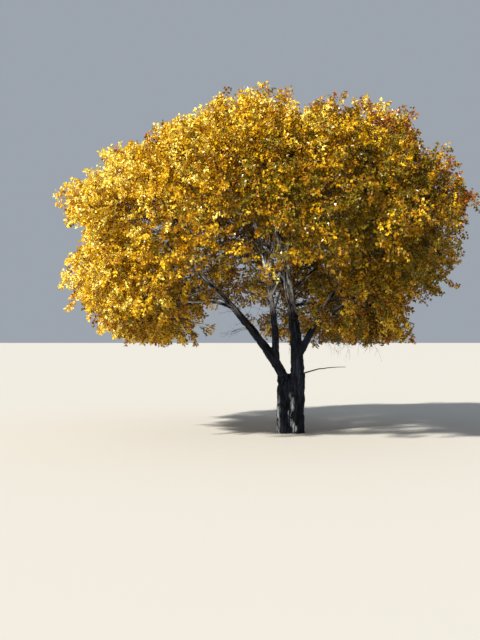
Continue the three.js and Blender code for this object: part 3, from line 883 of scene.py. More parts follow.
def run_tree(mesh, tree, **values):
    """Runs a geometry tree on a mesh and gives back the result as a plain mesh."""
    carrier = add_object("carrier", mesh)
    modifier = carrier.modifiers.new("shape", "NODES")
    modifier.node_group = tree
    sockets = {item.name: item.identifier for item in tree.interface.items_tree if item.in_out == "INPUT"}
    for name, value in values.items():
        modifier[sockets[name]] = value
    result = plain_mesh(carrier)
    bpy.data.meshes.remove(mesh)
    result.materials.clear()
    result.materials.append(values["Material"])
    result.polygons.foreach_set("material_index", np.zeros(len(result.polygons), np.int32))
    return result


def plain_mesh(carrier):
    """The evaluated mesh of an object, which is then removed."""
    bpy.context.view_layer.update()
    seen = carrier.evaluated_get(bpy.context.evaluated_depsgraph_get())
    mesh = bpy.data.meshes.new_from_object(seen)
    bpy.data.objects.remove(carrier)
    return mesh


def tube_tree():
    """Turns lines into tubes as thick as their thickness says."""
    tree, add, given = new_tree("tubes", Sides="Int")
    curve = add("GeometryNodeMeshToCurve", {0: given["Geometry"]})
    thickness = add(NAMED, {"Name": "thickness"}, data_type="FLOAT")
    section = add("GeometryNodeCurvePrimitiveCircle", {"Resolution": given["Sides"], "Radius": 1.0})
    sweep = {"Curve": curve, "Profile Curve": section, "Scale": thickness, "Fill Caps": True}
    end_tree(add, add("GeometryNodeCurveToMesh", sweep), given["Material"])
    return tree


def leaf_tree():
    """Sets a leaf of two halves, folded along its midrib, on every point."""
    tree, add, given = new_tree(
        "leaves", Length="Float", Width="Float", Fold="Float", Spread="Float", Seed="Int"
    )
    outline = add("GeometryNodeMeshCircle", {"Vertices": 4, "Radius": 1.0}, fill_type="NGON")
    halves = add("GeometryNodeTriangulate", {0: outline}, quad_method="FIXED_ALTERNATE")
    parts = add("ShaderNodeSeparateXYZ", {0: add("GeometryNodeInputPosition", {})}).outputs
    aside = add(MATH, {0: parts["X"]}, operation="ABSOLUTE")
    half_width = add(MATH, {0: given["Width"], 1: 0.5}, operation="MULTIPLY")
    across = add(MATH, {0: parts["X"], 1: half_width}, operation="MULTIPLY")
    upward = add(MATH, {0: parts["Y"], 1: 0.5, 2: 0.5}, operation="MULTIPLY_ADD")
    shoulder = add(MATH, {0: aside, 1: LEAF_SHOULDER}, operation="MULTIPLY")
    along = add(MATH, {0: upward, 1: shoulder}, operation="SUBTRACT")
    along = add(MATH, {0: along, 1: given["Length"]}, operation="MULTIPLY")
    lift = add(MATH, {0: aside, 1: given["Fold"]}, operation="MULTIPLY")
    shape = add("ShaderNodeCombineXYZ", {"X": across, "Y": along, "Z": lift})
    leaf = add("GeometryNodeSetPosition", {0: halves, "Position": shape})
    ways = [add(NAMED, {"Name": name}, data_type="FLOAT_VECTOR") for name in ("along", "facing")]
    ways = {0: ways[0], 1: ways[1]}
    turn = add("FunctionNodeAxesToRotation", ways, primary_axis="Y", secondary_axis="Z")
    least = add(MATH, {0: 1.0, 1: given["Spread"]}, operation="SUBTRACT")
    most = add(MATH, {0: 1.0, 1: given["Spread"]}, operation="ADD")
    size = add("FunctionNodeRandomValue", {2: least, 3: most, "Seed": given["Seed"]})
    scattered = {"Points": given["Geometry"], "Instance": leaf, "Rotation": turn, "Scale": size}
    end_tree(add, add("GeometryNodeInstanceOnPoints", scattered), given["Material"])
    return tree


def bark_tree():
    """Raises long flat-topped ridges between deep furrows, and keeps their height for the colours.

    The furrows wander, and shallower cracks join them. At a fork the bark of two limbs is mixed.
    """
    tree, add, given = new_tree("bark relief", Spacing="Float", Relief="Float", Swell="Float")
    fork, relief = (add(NAMED, {"Name": name}, data_type="FLOAT") for name in ("fork", "relief"))
    flows = [add(NAMED, {"Name": name}, data_type="FLOAT_VECTOR") for name in ("flow", "other_flow")]
    scale = add(MATH, {0: 1.0, 1: given["Spacing"]}, operation="DIVIDE")
    ridges = []
    for flow in flows:
        spot = add(VECTOR_MATH, {0: flow, "Scale": scale}, operation="SCALE")
        wander = add(NOISE, {"Vector": spot, **FURROWS})
        off = add(MATH, {0: wander, 1: 0.5}, operation="SUBTRACT")
        off = add(MATH, {0: off}, operation="ABSOLUTE")
        furrow = add(RANGE, {"Value": off, "From Max": FURROW_WIDTH}, interpolation_type="SMOOTHSTEP")
        warp = add(NOISE, {"Vector": spot, **CRACK_BENDS}).outputs["Color"]
        bent = add(VECTOR_MATH, {0: warp, 1: CRACK_BENDING, 2: spot}, operation="MULTIPLY_ADD")
        cells = add("ShaderNodeTexVoronoi", {"Vector": bent, "Scale": CRACKS}, feature="DISTANCE_TO_EDGE")
        crack = add(RANGE, {"Value": cells, "From Max": CRACK_WIDTH}, interpolation_type="SMOOTHSTEP")
        crack = add(MATH, {0: crack, 1: CRACK_DEPTH, 2: 1 - CRACK_DEPTH}, operation="MULTIPLY_ADD")
        ridges.append(add(MATH, {0: furrow, 1: crack}, operation="MULTIPLY"))
    ridge = add(MIX, {SHARE: fork, NEAR: ridges[0], FAR: ridges[1]}, data_type="FLOAT")
    grain = add(NOISE, {"Vector": flows[0], "Scale": per_metre(GRAIN_MM), "Detail": 2.0})
    rough = add(MATH, {0: grain, 1: GRAIN_DEPTH, 2: -GRAIN_DEPTH / 2}, operation="MULTIPLY_ADD")
    height = add(MATH, {0: ridge, 1: rough}, operation="ADD")
    height = add(MATH, {0: height, 1: RAW_LEVEL}, operation="SUBTRACT")
    deepest = add(MATH, {0: relief, 1: given["Relief"]}, operation="MULTIPLY")
    lift = add(MATH, {0: height, 1: deepest}, operation="MULTIPLY")
    place = add("GeometryNodeInputPosition", {})
    knobs = add(NOISE, {"Vector": place, "Scale": per_metre(KNOB_MM), "Detail": 1.0})
    knob = add(MATH, {0: knobs, 1: 0.5}, operation="SUBTRACT")
    knob = add(MATH, {0: knob, 1: given["Swell"]}, operation="MULTIPLY")
    knob = add(MATH, {0: knob, 1: relief}, operation="MULTIPLY")
    shift = add(MATH, {0: lift, 1: knob}, operation="ADD")
    normal = add("GeometryNodeInputNormal", {})
    offset = add(VECTOR_MATH, {0: normal, "Scale": shift}, operation="SCALE")
    marked = add(
        "GeometryNodeStoreNamedAttribute",
        {0: given["Geometry"], "Name": "ridge", "Value": ridge},
        data_type="FLOAT",
        domain="POINT",
    )
    end_tree(add, add("GeometryNodeSetPosition", {0: marked, "Offset": offset}), given["Material"])
    return tree


# Materials


def new_material(name):
    """An empty material, and the function that adds its nodes."""
    material = bpy.data.materials.new(name)
    material.use_nodes = True
    material.node_tree.nodes.clear()
    return material, functools.partial(add_node, material.node_tree)


def bark_material(colours):
    """Weathered bark, dull, in painted shade: dark bluish grey on the ridges and nearly black in the
    furrows.

    Higher up the boughs are smoother, and painted near white in streaks as sunlight on the upper limbs.
    Low on the trunk the bark has come off in streaks along the seam between its two stems and shows
    pale grey wood; down its left edge the same pale colour is painted sunlight.
    """
    material, add = new_material("furrowed bark")
    ridge = add("ShaderNodeAttribute", {}, attribute_name="ridge").outputs["Fac"]
    flow = add("ShaderNodeAttribute", {}, attribute_name="flow").outputs["Vector"]
    spot = add("ShaderNodeTexCoord", {}).outputs["Object"]
    parts = add("ShaderNodeSeparateXYZ", {0: spot}).outputs

    # Old bark, which peels off in streaks higher up. There the smooth young bark is
    # painted near white, as sunlight on the upper limbs.
    blotch = add(NOISE, {"Vector": spot, "Scale": per_metre(BLOTCH_MM), "Detail": 3.0})
    # The ridges' two tones are damp and dry bark at random, both painted near black and bluish as the shade
    # under the crown, lit by the sky.
    shades = {SHARE: blotch, DARK: linear(colours.ridge_dark_painted_shade), LIGHT: linear(colours.ridge_light_painted_shade)}
    old = add(MIX, shades, data_type="RGBA")
    sunlit_youth = add(RANGE, {"Value": parts["Z"], **YOUNG_AND_SUNLIT_HEIGHT})
    peel = add(NOISE, {"Vector": flow, "Scale": per_metre(PEEL_MM), "Detail": 3.0})
    peeled = add(RANGE, {"Value": peel, **PEELING})
    smooth = add(MATH, {0: sunlit_youth, 1: peeled}, operation="MULTIPLY")
    tops = add(MIX, {SHARE: smooth, DARK: old, LIGHT: linear(colours.young_bark_painted_sunlit)}, data_type="RGBA")
    fibre = add(NOISE, {"Vector": flow, "Scale": per_metre(FIBRE_MM)})
    shade = add(RANGE, {"Value": fibre, **FIBRE_SHADES})
    grained = add(VECTOR_MATH, {0: tops, "Scale": shade}, operation="SCALE")
    # The furrows go nearly black: partly their own darker bark, partly painted shade in their depth.
    top = add(RANGE, {"Value": ridge, **RIDGE_EDGE})
    furrowed = add(MIX, {SHARE: top, DARK: linear(colours.furrow), LIGHT: grained}, data_type="RGBA")

    # Bare streaks low on the trunk along its seam, and painted sunlight in streaks down its left edge.
    bend = add(NOISE, {"Vector": spot, "Scale": per_metre(SEAM_BEND_MM), "Detail": 1.0})
    seam = add(MATH, {0: bend, 1: SEAM_SWING, 2: SEAM_PLACE}, operation="MULTIPLY_ADD")
    off_seam = add(MATH, {0: parts["X"], 1: seam}, operation="SUBTRACT")
    off_seam = add(MATH, {0: off_seam}, operation="ABSOLUTE")
    by_seam = add(RANGE, {"Value": off_seam, **BARE_SEAM})
    by_sunlit_edge = add(RANGE, {"Value": parts["X"], **SUNLIT_LEFT_EDGE})
    low = add(RANGE, {"Value": parts["Z"], **BARE_HEIGHT})
    streaks = add(NOISE, {"Vector": flow, "Scale": per_metre(BARE_STREAK_MM), "Detail": 4.0})
    streaks = add(RANGE, {"Value": streaks, **BARE_STREAKS})
    breaks = add(RANGE, {"Value": blotch, **BARE_BREAKS})
    bare = add(MATH, {0: by_seam, 1: by_sunlit_edge}, operation="MAXIMUM")
    for limit in (low, streaks, breaks):
        bare = add(MATH, {0: bare, 1: limit}, operation="MULTIPLY")
    # One pale colour for the bare wood along the seam and for the painted sunlight down the left edge.
    wood = add(VECTOR_MATH, {0: linear(colours.pale_wood_and_sunlit_rim)[:3], "Scale": shade}, operation="SCALE")
    colour = add(MIX, {SHARE: bare, DARK: furrowed, LIGHT: wood}, data_type="RGBA")

    bump = add("ShaderNodeBump", {"Height": fibre, "Distance": 0.004, "Strength": 0.6})
    surface = {"Base Color": colour, "Roughness": 0.92, "Specular IOR Level": 0.25, "Normal": bump}
    add(OUTPUT, {"Surface": add(SURFACE, surface)})
    return material


def twig_material(colours):
    """Young bark: smoother than old bark, with pale specks and a faint waxy shine."""
    material, add = new_material("twig bark")
    spot = add("ShaderNodeTexCoord", {}).outputs["Object"]
    specks = add(NOISE, {"Vector": spot, "Scale": per_metre(SPECK_MM), "Detail": 3.0})
    shades = {SHARE: specks, DARK: linear(colours.twig_dark), LIGHT: linear(colours.twig_light)}
    colour = add(MIX, shades, data_type="RGBA")
    bump = add("ShaderNodeBump", {"Height": specks, "Distance": 0.002})
    surface = {"Base Color": colour, "Roughness": 0.7, "Specular IOR Level": 0.35, "Normal": bump}
    add(OUTPUT, {"Surface": add(SURFACE, surface)})
    return material


def leaf_material(name, colour):
    """A waxy cottonwood leaf: it glints in the sun, and has a plain base colour, one of the tree's tints."""
    material, add = new_material(f"{name} cottonwood leaf")
    surface = {"Base Color": linear(colour), "Roughness": 0.3, "Specular IOR Level": 0.36}
    add(OUTPUT, {"Surface": add(SURFACE, surface)})
    return material


def floor_material():
    """Pale plaster: flat and dull."""
    material, add = new_material("pale floor")
    surface = {"Base Color": linear(FLOOR_COLOUR), "Roughness": 0.9}
    add(OUTPUT, {"Surface": add(SURFACE, surface)})
    return material


# Bark


def limb_rings(limb):
    """Rings of points round a limb."""
    shares = np.linspace(0, 1, max(LEAST_RINGS, round(limb.length / LIMB_RING_SPACING)) + 1)
    tangents = limb.tangents(shares)
    least = abs(tangents.mean(0)).argmin()
    aside = unit(np.cross(tangents, np.eye(3)[least]))
    other = np.cross(tangents, aside)
    turns = np.linspace(0, 2 * math.pi, LIMB_SIDES, endpoint=False)[:, None]
    across = aside[:, None] * np.cos(turns) + other[:, None] * np.sin(turns)
    return limb.points(shares)[:, None] + across * limb.radius(shares)[:, None, None]


def flare_at(turns, heights):
    """How much the trunk widens towards the ground, as a factor."""
    ridge = 1 - RIDGE_SHARE + RIDGE_SHARE * np.cos(ROOT_RIDGES * turns + RIDGE_TURN)
    return 1 + FLARE * ridge * np.exp(-np.maximum(heights, 0) / FLARE_HEIGHT)


def trunk_rings():
    """The trunk's core between its two stems, rounded off under the fork."""
    heights = np.arange(-BELOW_GROUND, FORK_HEIGHT, TRUNK_RING_STEP)[:, None]
    across, along = np.cos(TRUNK_TURNS), np.sin(TRUNK_TURNS)
    seam = 1 - SEAM_DEPTH * along**SEAM_SHARPNESS
    flare = flare_at(TRUNK_TURNS, heights)
    closing = np.sqrt(np.clip((FORK_HEIGHT + CORE_TOP - heights) / CORE_CLOSING, CORE_LEAST, 1))
    lean = TRUNK_LEAN * heights / FORK_HEIGHT
    x = lean + across * TRUNK_HALF_WIDTH * CORE_WIDTH * flare * closing
    y = along * TRUNK_HALF_DEPTH * CORE_DEPTH * seam * flare * closing
    return np.stack((x, y, np.broadcast_to(heights, x.shape)), -1)


def stem_rings(side, leader):
    """One of the two stems that the trunk is made of, from the ground up into its own limb."""
    top = FORK_HEIGHT + STEM_TOP
    heights = np.arange(-BELOW_GROUND, top, TRUNK_RING_STEP)[:, None]
    share = np.clip(heights / top, 0, 1)
    ground_middle = side * (TRUNK_HALF_WIDTH - STEM_HALF_WIDTH)
    upper = leader.points([LEADER_SHARE])[0]
    middle = ground_middle + (upper[0] - ground_middle) * share
    flare = flare_at(TRUNK_TURNS, heights)
    narrowing = np.clip((share - STEM_NARROWING) / (1 - STEM_NARROWING), 0, 1) ** NARROWING_POWER
    half_width = STEM_HALF_WIDTH + (leader.radii[0] - STEM_HALF_WIDTH) * share
    half_depth = TRUNK_HALF_DEPTH + (leader.radii[0] - TRUNK_HALF_DEPTH) * narrowing
    x = middle + np.cos(TRUNK_TURNS) * half_width * flare
    y = np.sin(TRUNK_TURNS) * half_depth * flare
    return np.stack((x, y, np.broadcast_to(heights, x.shape)), -1)


def bead_chain(limb):
    """Beads down the middle of a limb: points, tangents, radii and lengths from the ground or the foot.

    The chains of the two leaders start at the ground, inside the trunk's own stems.
    """
    chain = [limb.bead_points, limb.bead_tangents, limb.bead_radii, limb.beads * limb.length]
    if limb.parent is None:
        foot = limb.control[0]
        side = math.copysign(TRUNK_HALF_WIDTH - STEM_HALF_WIDTH, foot[0])
        heights = np.arange(-BELOW_GROUND, foot[2] - BEAD_SPACING / 2, BEAD_SPACING)
        middle = side + (foot[0] - side) * np.clip(heights / foot[2], 0, 1)
        points = np.stack((middle, np.zeros(len(heights)), heights), 1)
        radii = np.full(len(heights), STEM_HALF_WIDTH)
        chain[3] = chain[3] + foot[2]
        below = (points, np.tile(UP, (len(heights), 1)), radii, heights)
        chain = [np.concatenate(pair) for pair in zip(below, chain)]
    return chain


def carried_axes(tangents):
    """Two directions across each bead of a chain, which turn as little as they can from bead to bead."""
    aside = np.empty_like(tangents)
    last = np.eye(3)[abs(tangents[0]).argmin()]
    for row, tangent in enumerate(tangents):
        last = aside[row] = unit(last - tangent * (last @ tangent))
    return aside, np.cross(tangents, aside)


def store_flow(mesh, limbs):
    """Keeps for each corner where it lies round and along its limb, how near a fork is, and the relief.

    Gives back how near a fork is: a half where two limbs are as near as each other, and less elsewhere.
    """
    chains = [bead_chain(limb) for limb in limbs]
    owner = np.repeat(np.arange(len(chains)), [len(chain[0]) for chain in chains])
    points, tangents, radii, lengths = (np.concatenate(rows) for rows in zip(*chains))
    axes = [carried_axes(chain[1]) for chain in chains]
    aside, across = (np.concatenate(rows) for rows in zip(*axes))
    corners = np.empty(len(mesh.vertices) * 3, np.float32)
    mesh.vertices.foreach_get("co", corners)
    corners = corners.reshape(-1, 3).astype(float)
    flows = np.zeros((2, len(corners), 3))
    fork = np.zeros(len(corners))
    thick = np.zeros(len(corners))
    for start in range(0, len(corners), CORNER_BATCH):
        batch = slice(start, start + CORNER_BATCH)
        some = corners[batch]
        gaps = np.linalg.norm(some[:, None] - points, axis=2) - radii
        least = np.stack([gaps[:, owner == one].min(1) for one in range(len(chains))], 1)
        order = least.argsort(1)
        rows = np.arange(len(some))
        for rank in (1, 0):
            own = order[:, rank]
            bead = np.where(owner[None] == own[:, None], gaps, np.inf).argmin(1)
            off = some - points[bead]
            run = lengths[bead] + (off * tangents[bead]).sum(1)
            flow = ((off * aside[bead]).sum(1), (off * across[bead]).sum(1), run / FLOW_STRETCH)
            flows[rank, batch] = np.stack(flow, 1) + own[:, None] * LIMB_SHIFT
        thick[batch] = radii[bead]
        near, far = least[rows, order[:, 0]], least[rows, order[:, 1]]
        fork[batch] = 0.5 * np.clip(1 - (far - near) / FORK_BLEND, 0, 1)
    relief = np.clip(thick / FULL_RELIEF_RADIUS, LEAST_RELIEF, 1)
    told = {"flow": flows[0], "other_flow": flows[1], "fork": fork, "relief": relief}
    for name, values in told.items():
        store(mesh, name, values)
    return fork


def remeshed(mesh, voxel):
    """All closed shapes in a mesh melted into one skin."""
    carrier = add_object("carrier", mesh)
    modifier = carrier.modifiers.new("skin", "REMESH")
    modifier.mode = "VOXEL"
    modifier.voxel_size = voxel
    return plain_mesh(carrier)


def softened(mesh, fork):
    """Smooths a mesh near its forks."""
    carrier = add_object("carrier", mesh)
    group = carrier.vertex_groups.new(name="forks")
    levels = np.round(fork * 2 * SOFTENING_LEVELS).astype(int)
    for level in range(1, SOFTENING_LEVELS + 1):
        group.add(np.flatnonzero(levels == level).tolist(), level / SOFTENING_LEVELS, "REPLACE")
    modifier = carrier.modifiers.new("soften", "SMOOTH")
    modifier.factor = 0.5
    modifier.iterations = FORK_SOFTENING
    modifier.vertex_group = "forks"
    return plain_mesh(carrier)


def refine_below(mesh, height):
    """Halves the faces of the lower trunk, where the bark is seen closest."""
    work = bmesh.new()
    work.from_mesh(mesh)
    edges = [edge for edge in work.edges if max(vertex.co.z for vertex in edge.verts) < height]
    bmesh.ops.subdivide_edges(work, edges=edges, cuts=1, use_grid_fill=True)
    work.to_mesh(mesh)
    work.free()


def cut_at_ground(mesh):
    """Cuts a mesh flat at the ground and closes the cut, with all faces smooth and outwards."""
    work = bmesh.new()
    work.from_mesh(mesh)
    everything = [*work.verts, *work.edges, *work.faces]
    cut = bmesh.ops.bisect_plane(work, geom=everything, plane_no=UP, clear_inner=True)
    rim = [item for item in cut["geom_cut"] if isinstance(item, bmesh.types.BMEdge)]
    bmesh.ops.contextual_create(work, geom=rim)
    for face in work.faces:
        face.smooth = True
    bmesh.ops.recalc_face_normals(work, faces=work.faces)
    work.to_mesh(mesh)
    work.free()


# Lines of wood


def low_branch_line(low_branch, draw):
    """The low branch as a kinked line that thins out."""
    shares = np.linspace(0, 1, LOW_BRANCH_POINTS)
    points = low_branch.points(shares)
    points += draw.normal(0, LOW_BRANCH_KINKS, points.shape) * np.sin(math.pi * shares)[:, None]
    return points, np.linspace(LOW_BRANCH_RADII[0], LOW_TWIG_TIP, LOW_BRANCH_POINTS)


def stem_line(growth):
    """The stem of a mass, which ends a little past its last twig with leaves."""
    twigs = zip(growth.twigs, growth.carried)
    reach = max(twig.share for twig, carried in twigs if carried and twig.parent < 0) + STEM_PAST
    steps = np.linspace(0, 1, STEM_POINTS)[:, None]
    radii = np.linspace(BOUGH_TIP_RADIUS, STEM_TIP_RADIUS, STEM_POINTS)
    return growth.mass.entry + growth.stem * reach * steps, radii


def twig_lines(grown, spray_length, draw):
    """Lines of the stems and thicker twigs, and lines of the fine ones."""
    thick, fine = [], []
    for growth in grown:
        thick.append(stem_line(growth))
        for twig, carried in zip(growth.twigs, growth.carried):
            if not carried:
                continue
            foot_radius = TWIG_GIRTH * carried**GIRTH_POWER
            way = twig.root - twig.foot
            bend = draw.uniform(-1, 1, 3) * np.linalg.norm(way) * TWIG_BEND
            points = [twig.foot, twig.foot + way * 0.5 + bend, twig.root]
            radii = [foot_radius, (foot_radius + TWIG_GIRTH) / 2, TWIG_GIRTH]
            if twig.leafy:
                spray = twig.along * spray_length
                points += [twig.root + spray * 0.5, twig.root + spray - UP * SPRAY_DROOP]
                radii += [TWIG_GIRTH * SPRAY_HALF_GIRTH, SPRAY_TIP_RADIUS]
            lot = thick if foot_radius > THICK_TWIG else fine
            lot.append((np.array(points), np.array(radii)))
    return thick, fine


def bare_twig(foot, way, length, radius, draw):
    """A thin dead twig that bends and droops a little, and its side twigs, as lines."""
    shares = np.linspace(0, 1, BARE_POINTS)
    bend = unit(np.cross(way, draw.uniform(-1, 1, 3))) * draw.uniform(*BARE_BENDS)
    middle = foot + way * length * shares[:, None] + bend * length * (shares**2)[:, None]
    middle += draw.normal(0, BARE_KINKS * length, middle.shape) * shares[:, None]
    middle[:, 2] -= BARE_DROOP * length * shares**2
    lines = [(middle, radius * (1 - BARE_TAPER * shares))]
    if length > BARE_LENGTHS[0]:
        for share in draw.uniform(*BARE_FORK_ZONE, draw.integers(*BARE_FORK_COUNTS)):
            start = np.array([np.interp(share, shares, middle[:, axis]) for axis in range(3)])
            aside = unit(np.cross(way, draw.uniform(-1, 1, 3)))
            branch = unit(way + aside * draw.uniform(*BARE_FORK_TURNS))
            size = length * draw.uniform(*BARE_FORK_LENGTHS)
            lines += bare_twig(start, branch, size, radius * BARE_FORK_GIRTH, draw)
    return lines


def bare_lines(limbs, roots, draw):
    """Dead twigs in the bare inside of the crown, across the open place, and hanging on the right."""
    lengths = np.array([limb.length for limb in limbs])
    chosen = draw.choice(len(limbs), BARE_TWIGS, p=lengths / lengths.sum())
    places = [(limbs[one], BARE_ZONE) for one in chosen]
    places += [(limb, WINDOW_ZONE) for limb in limbs if limb.name == WINDOW_LIMB] * WINDOW_TWIGS
    lines = []
    for limb, zone in places:
        share = [draw.uniform(*zone)]
        foot, trend = limb.points(share)[0], limb.tangents(share)[0]
        aside = unit(np.cross(trend, draw.uniform(-1, 1, 3)))
        way = unit(aside + trend * draw.uniform(*BARE_TRENDS) - UP * draw.uniform(*BARE_FALLS))
        lines += bare_twig(foot, way, draw.uniform(*BARE_LENGTHS), BARE_RADIUS, draw)
    left, right = HANGING_SIDE
    low = roots[(roots[:, 2] < HANGING_BELOW) & (roots[:, 0] > left) & (roots[:, 0] < right)]
    for foot in low[draw.choice(len(low), HANGING_TWIGS)]:
        way = unit(draw.uniform(-HANGING_SWING, HANGING_SWING, 3) - UP)
        lines += bare_twig(foot, way, draw.uniform(*BARE_LENGTHS), HANGING_RADIUS, draw)
    return lines


# Leaves


def leaf_points(sprays, spray_length, draw):
    """Where every leaf is fixed, which way it points and faces, and the number of its shoot."""
    shoots = [(sprays.roots, sprays.alongs * spray_length, FIRST_LEAVES[0], MAIN_LEAVES)]
    for foot, end in zip(sprays.feet, sprays.ends):
        shoots.append((foot, end - foot, FIRST_LEAVES[1], SHOOT_LEAVES))
    fixed, ways, owners = [], [], []
    for order, (foot, way, first, count) in enumerate(shoots):
        for share in np.linspace(first, 1, count):
            fixed.append(foot + way * share)
            ways.append(unit(way))
            owners.append(np.arange(len(foot)) + order * len(foot))
    fixed, ways, owners = (np.concatenate(rows) for rows in (fixed, ways, owners))
    aside = unit(draw.normal(0, 1, fixed.shape))
    along = unit(ways * LEAF_ALONG + aside * LEAF_ASIDE - UP * LEAF_DOWN)
    aside = unit(draw.normal(0, 1, fixed.shape))
    facing = unit(unit(fixed - CROWN_HEART) * FACE_OUTWARD + UP * FACE_UP + aside * FACE_ASIDE)
    facing = unit(facing - along * (facing * along).sum(1, keepdims=True))
    return fixed + along * STALK, along, facing, owners


def deal_tints(roots, draw):
    """The number of the tint of each spray's shoots: golden on the left, browner to the lower right,
    partly the leaves' own tints and partly painted sunlight and painted shade.

    A spray's own stem comes first, and then its side shoots.
    """
    right = (roots[:, 0] - CROWN[0]) / CROWN_HALF_WIDTH
    high = (roots[:, 2] - CROWN[2]) / CROWN_RISE
    rim = dome_level(np.stack((roots[:, 0], np.full(len(roots), CROWN[1]), roots[:, 2]), 1))
    # Painted light and shade mixed with the own tints: browner to the right and in the middle, golder at the
    # top.
    brown = BROWN_LEVEL + BROWN_AND_SHADE_RIGHT * right + BROWN_AND_SHADE_INSIDE * (1 - rim) - GOLD_AND_SUN_HIGH * high
    brown += np.clip(-high, 0, 1) * (BROWN_AND_SHADE_LOW - GOLD_AND_SUN_LOW_RIGHT * right)
    for scale, depth in BROWN_PATCHES:
        brown += depth * np.array([noise.noise(Vector(root) * scale) for root in roots])
    growing = RUSSET_LEAST + RUSSET_GROWTH * (right - RUSSET_START)
    upper_right = (rim > RUSSET_RIMS[0]) & (high > RUSSET_HEIGHT)
    elsewhere = RUSSET_LEAST * (rim > RUSSET_RIMS[1])
    reddish = np.where(upper_right, np.clip(growing, RUSSET_LEAST, RUSSET_MOST), elsewhere)
    count = SIDE_SHOOTS + 1
    scatter = draw.normal(0, TINT_SCATTER, count * len(roots))
    tint = np.digitize(np.tile(brown, count) + scatter, TINT_LIMITS)
    chance = draw.uniform(0, 1, len(tint))
    return np.where(chance < np.tile(reddish, count), len(TINTS) - 1, tint)


# Settings


def sized(name, description, default, least=0.0):
    return bpy.props.FloatProperty(
        name=name, description=description, default=default, min=least, unit="LENGTH", precision=4
    )


def coloured(name, description, default):
    return bpy.props.StringProperty(name=name, description=description, default=default, maxlen=7)


class TreeSizes(bpy.types.PropertyGroup):
    """Sizes of the tree's details"""

    leaf_length: sized("Leaf length", "From the stalk's end to the tip of a leaf", 0.061)
    leaf_width: sized("Leaf width", "Across a leaf's shoulders", 0.058)
    leaf_fold: sized("Leaf fold", "How far a leaf's edges stand above its midrib", 0.022)
    spray_length: sized("Spray length", "From a spray's root to its last leaf", 0.46)
    ridge_spacing: sized("Ridge spacing", "Between two ridges of old bark", 0.062)
    ridge_relief: sized("Ridge relief", "From the furrows to the ridges of old bark", 0.03)
    bark_swell: sized("Bark swell", "Height of the trunk's broad knobs", 0.05)
    bark_voxel: sized("Bark detail", "Edge of the cells that the bark's skin is made of", 0.0185, 0.008)
    density: bpy.props.FloatProperty(
        name="Density", description="Number of sprays, as a share of the usual", default=1.25, min=0.1
    )
    seed: bpy.props.IntProperty(name="Seed", description="Number that the growth starts from", default=5)


class TreeColours(bpy.types.PropertyGroup):
    """Colours of bark and leaves"""

    # Bark colours painted dark and bluish, as the shade under the crown lit by the sky.
    ridge_light_painted_shade: coloured("Light ridges", "Bark ridges where they are weathered", "#2e3446")
    ridge_dark_painted_shade: coloured("Dark ridges", "Bark ridges where they are damp", "#131620")
    furrow: coloured("Furrows", "Depth of the bark's furrows", "#07080b")
    # Young bark and painted sunlight: near white where the sun falls on the upper limbs.
    young_bark_painted_sunlit: coloured("Young bark", "Smoother bark of the upper boughs", "#f2efe8")
    # Pale wood along the seam, and painted sunlight down the trunk's left edge.
    pale_wood_and_sunlit_rim: coloured("Pale patches", "Bare grey streaks low on the trunk", "#e2e8ec")
    twig_dark: coloured("Dark twigs", "Shaded side of the twigs", "#2b221d")
    twig_light: coloured("Light twigs", "Weathered side of the twigs", "#554639")
    pale_gold: coloured("Pale gold", "Brightest leaves", "#fae570")
    gold: coloured("Gold", "Golden leaves", "#efc72f")
    deep_gold: coloured("Deep gold", "Deep golden leaves", "#d4a912")
    amber: coloured("Amber", "Amber leaves", "#b68306")
    bronze: coloured("Bronze", "Bronze leaves", "#936a06")
    olive: coloured("Olive", "Olive-brown leaves", "#7e6b10")
    russet: coloured("Russet", "Russet leaves of the right-hand rim", "#a9620c")


class TREE_OT_bark(bpy.types.Operator):
    """Make the bark of the trunk and the boughs"""

    bl_idname = "tree.bark"
    bl_label = "Bark"

    def execute(self, context):
        sizes, colours = context.scene.tree_sizes, context.scene.tree_colours
        wood = tree_plan()[1]
        rings = [trunk_rings(), stem_rings(-1, wood[0]), stem_rings(1, wood[1]), *map(limb_rings, wood)]
        mesh = remeshed(join_shapes("raw wood", map(loft, rings)), sizes.bark_voxel)
        mesh = softened(mesh, store_flow(mesh, wood))
        refine_below(mesh, FINE_BARK_TOP)
        mesh = run_tree(
            mesh,
            bark_tree(),
            Spacing=sizes.ridge_spacing,
            Relief=sizes.ridge_relief,
            Swell=sizes.bark_swell,
            Material=bark_material(colours),
        )
        cut_at_ground(mesh)
        place_piece("bark", mesh, ["trunk", *(limb.name for limb in wood)])
        return {"FINISHED"}


class TREE_OT_twigs(bpy.types.Operator):
    """Make the stems, twigs and shoots of the crown"""

    bl_idname = "tree.twigs"
    bl_label = "Twigs"

    def execute(self, context):
        sizes, colours = context.scene.tree_sizes, context.scene.tree_colours
        _, wood, low_branch = tree_plan()
        grown, sprays = grow_sprays(sizes)
        draw = np.random.default_rng(sizes.seed + TWIG_SEED)
        low = low_branch_line(low_branch, draw)
        thick, fine = twig_lines(grown, sizes.spray_length, draw)
        fine += bare_lines(wood, sprays.roots, draw)
        feet, ends = sprays.feet.reshape(-1, 3), sprays.ends.reshape(-1, 3)
        shoots = [(np.array(line), np.array(SHOOT_RADII)) for line in zip(feet, ends)]
        tubes = tube_tree()
        young = twig_material(colours)
        lots = (
            ("stems", [low, *thick], THICK_SIDES, ["low_branch"]),
            ("twigs", fine, FINE_SIDES, []),
            ("shoots", shoots, FINE_SIDES, []),
        )
        for name, lines, sides, nodes in lots:
            mesh = run_tree(lines_mesh(name, lines), tubes, Sides=sides, Material=young)
            place_piece(name, mesh, nodes)
        return {"FINISHED"}


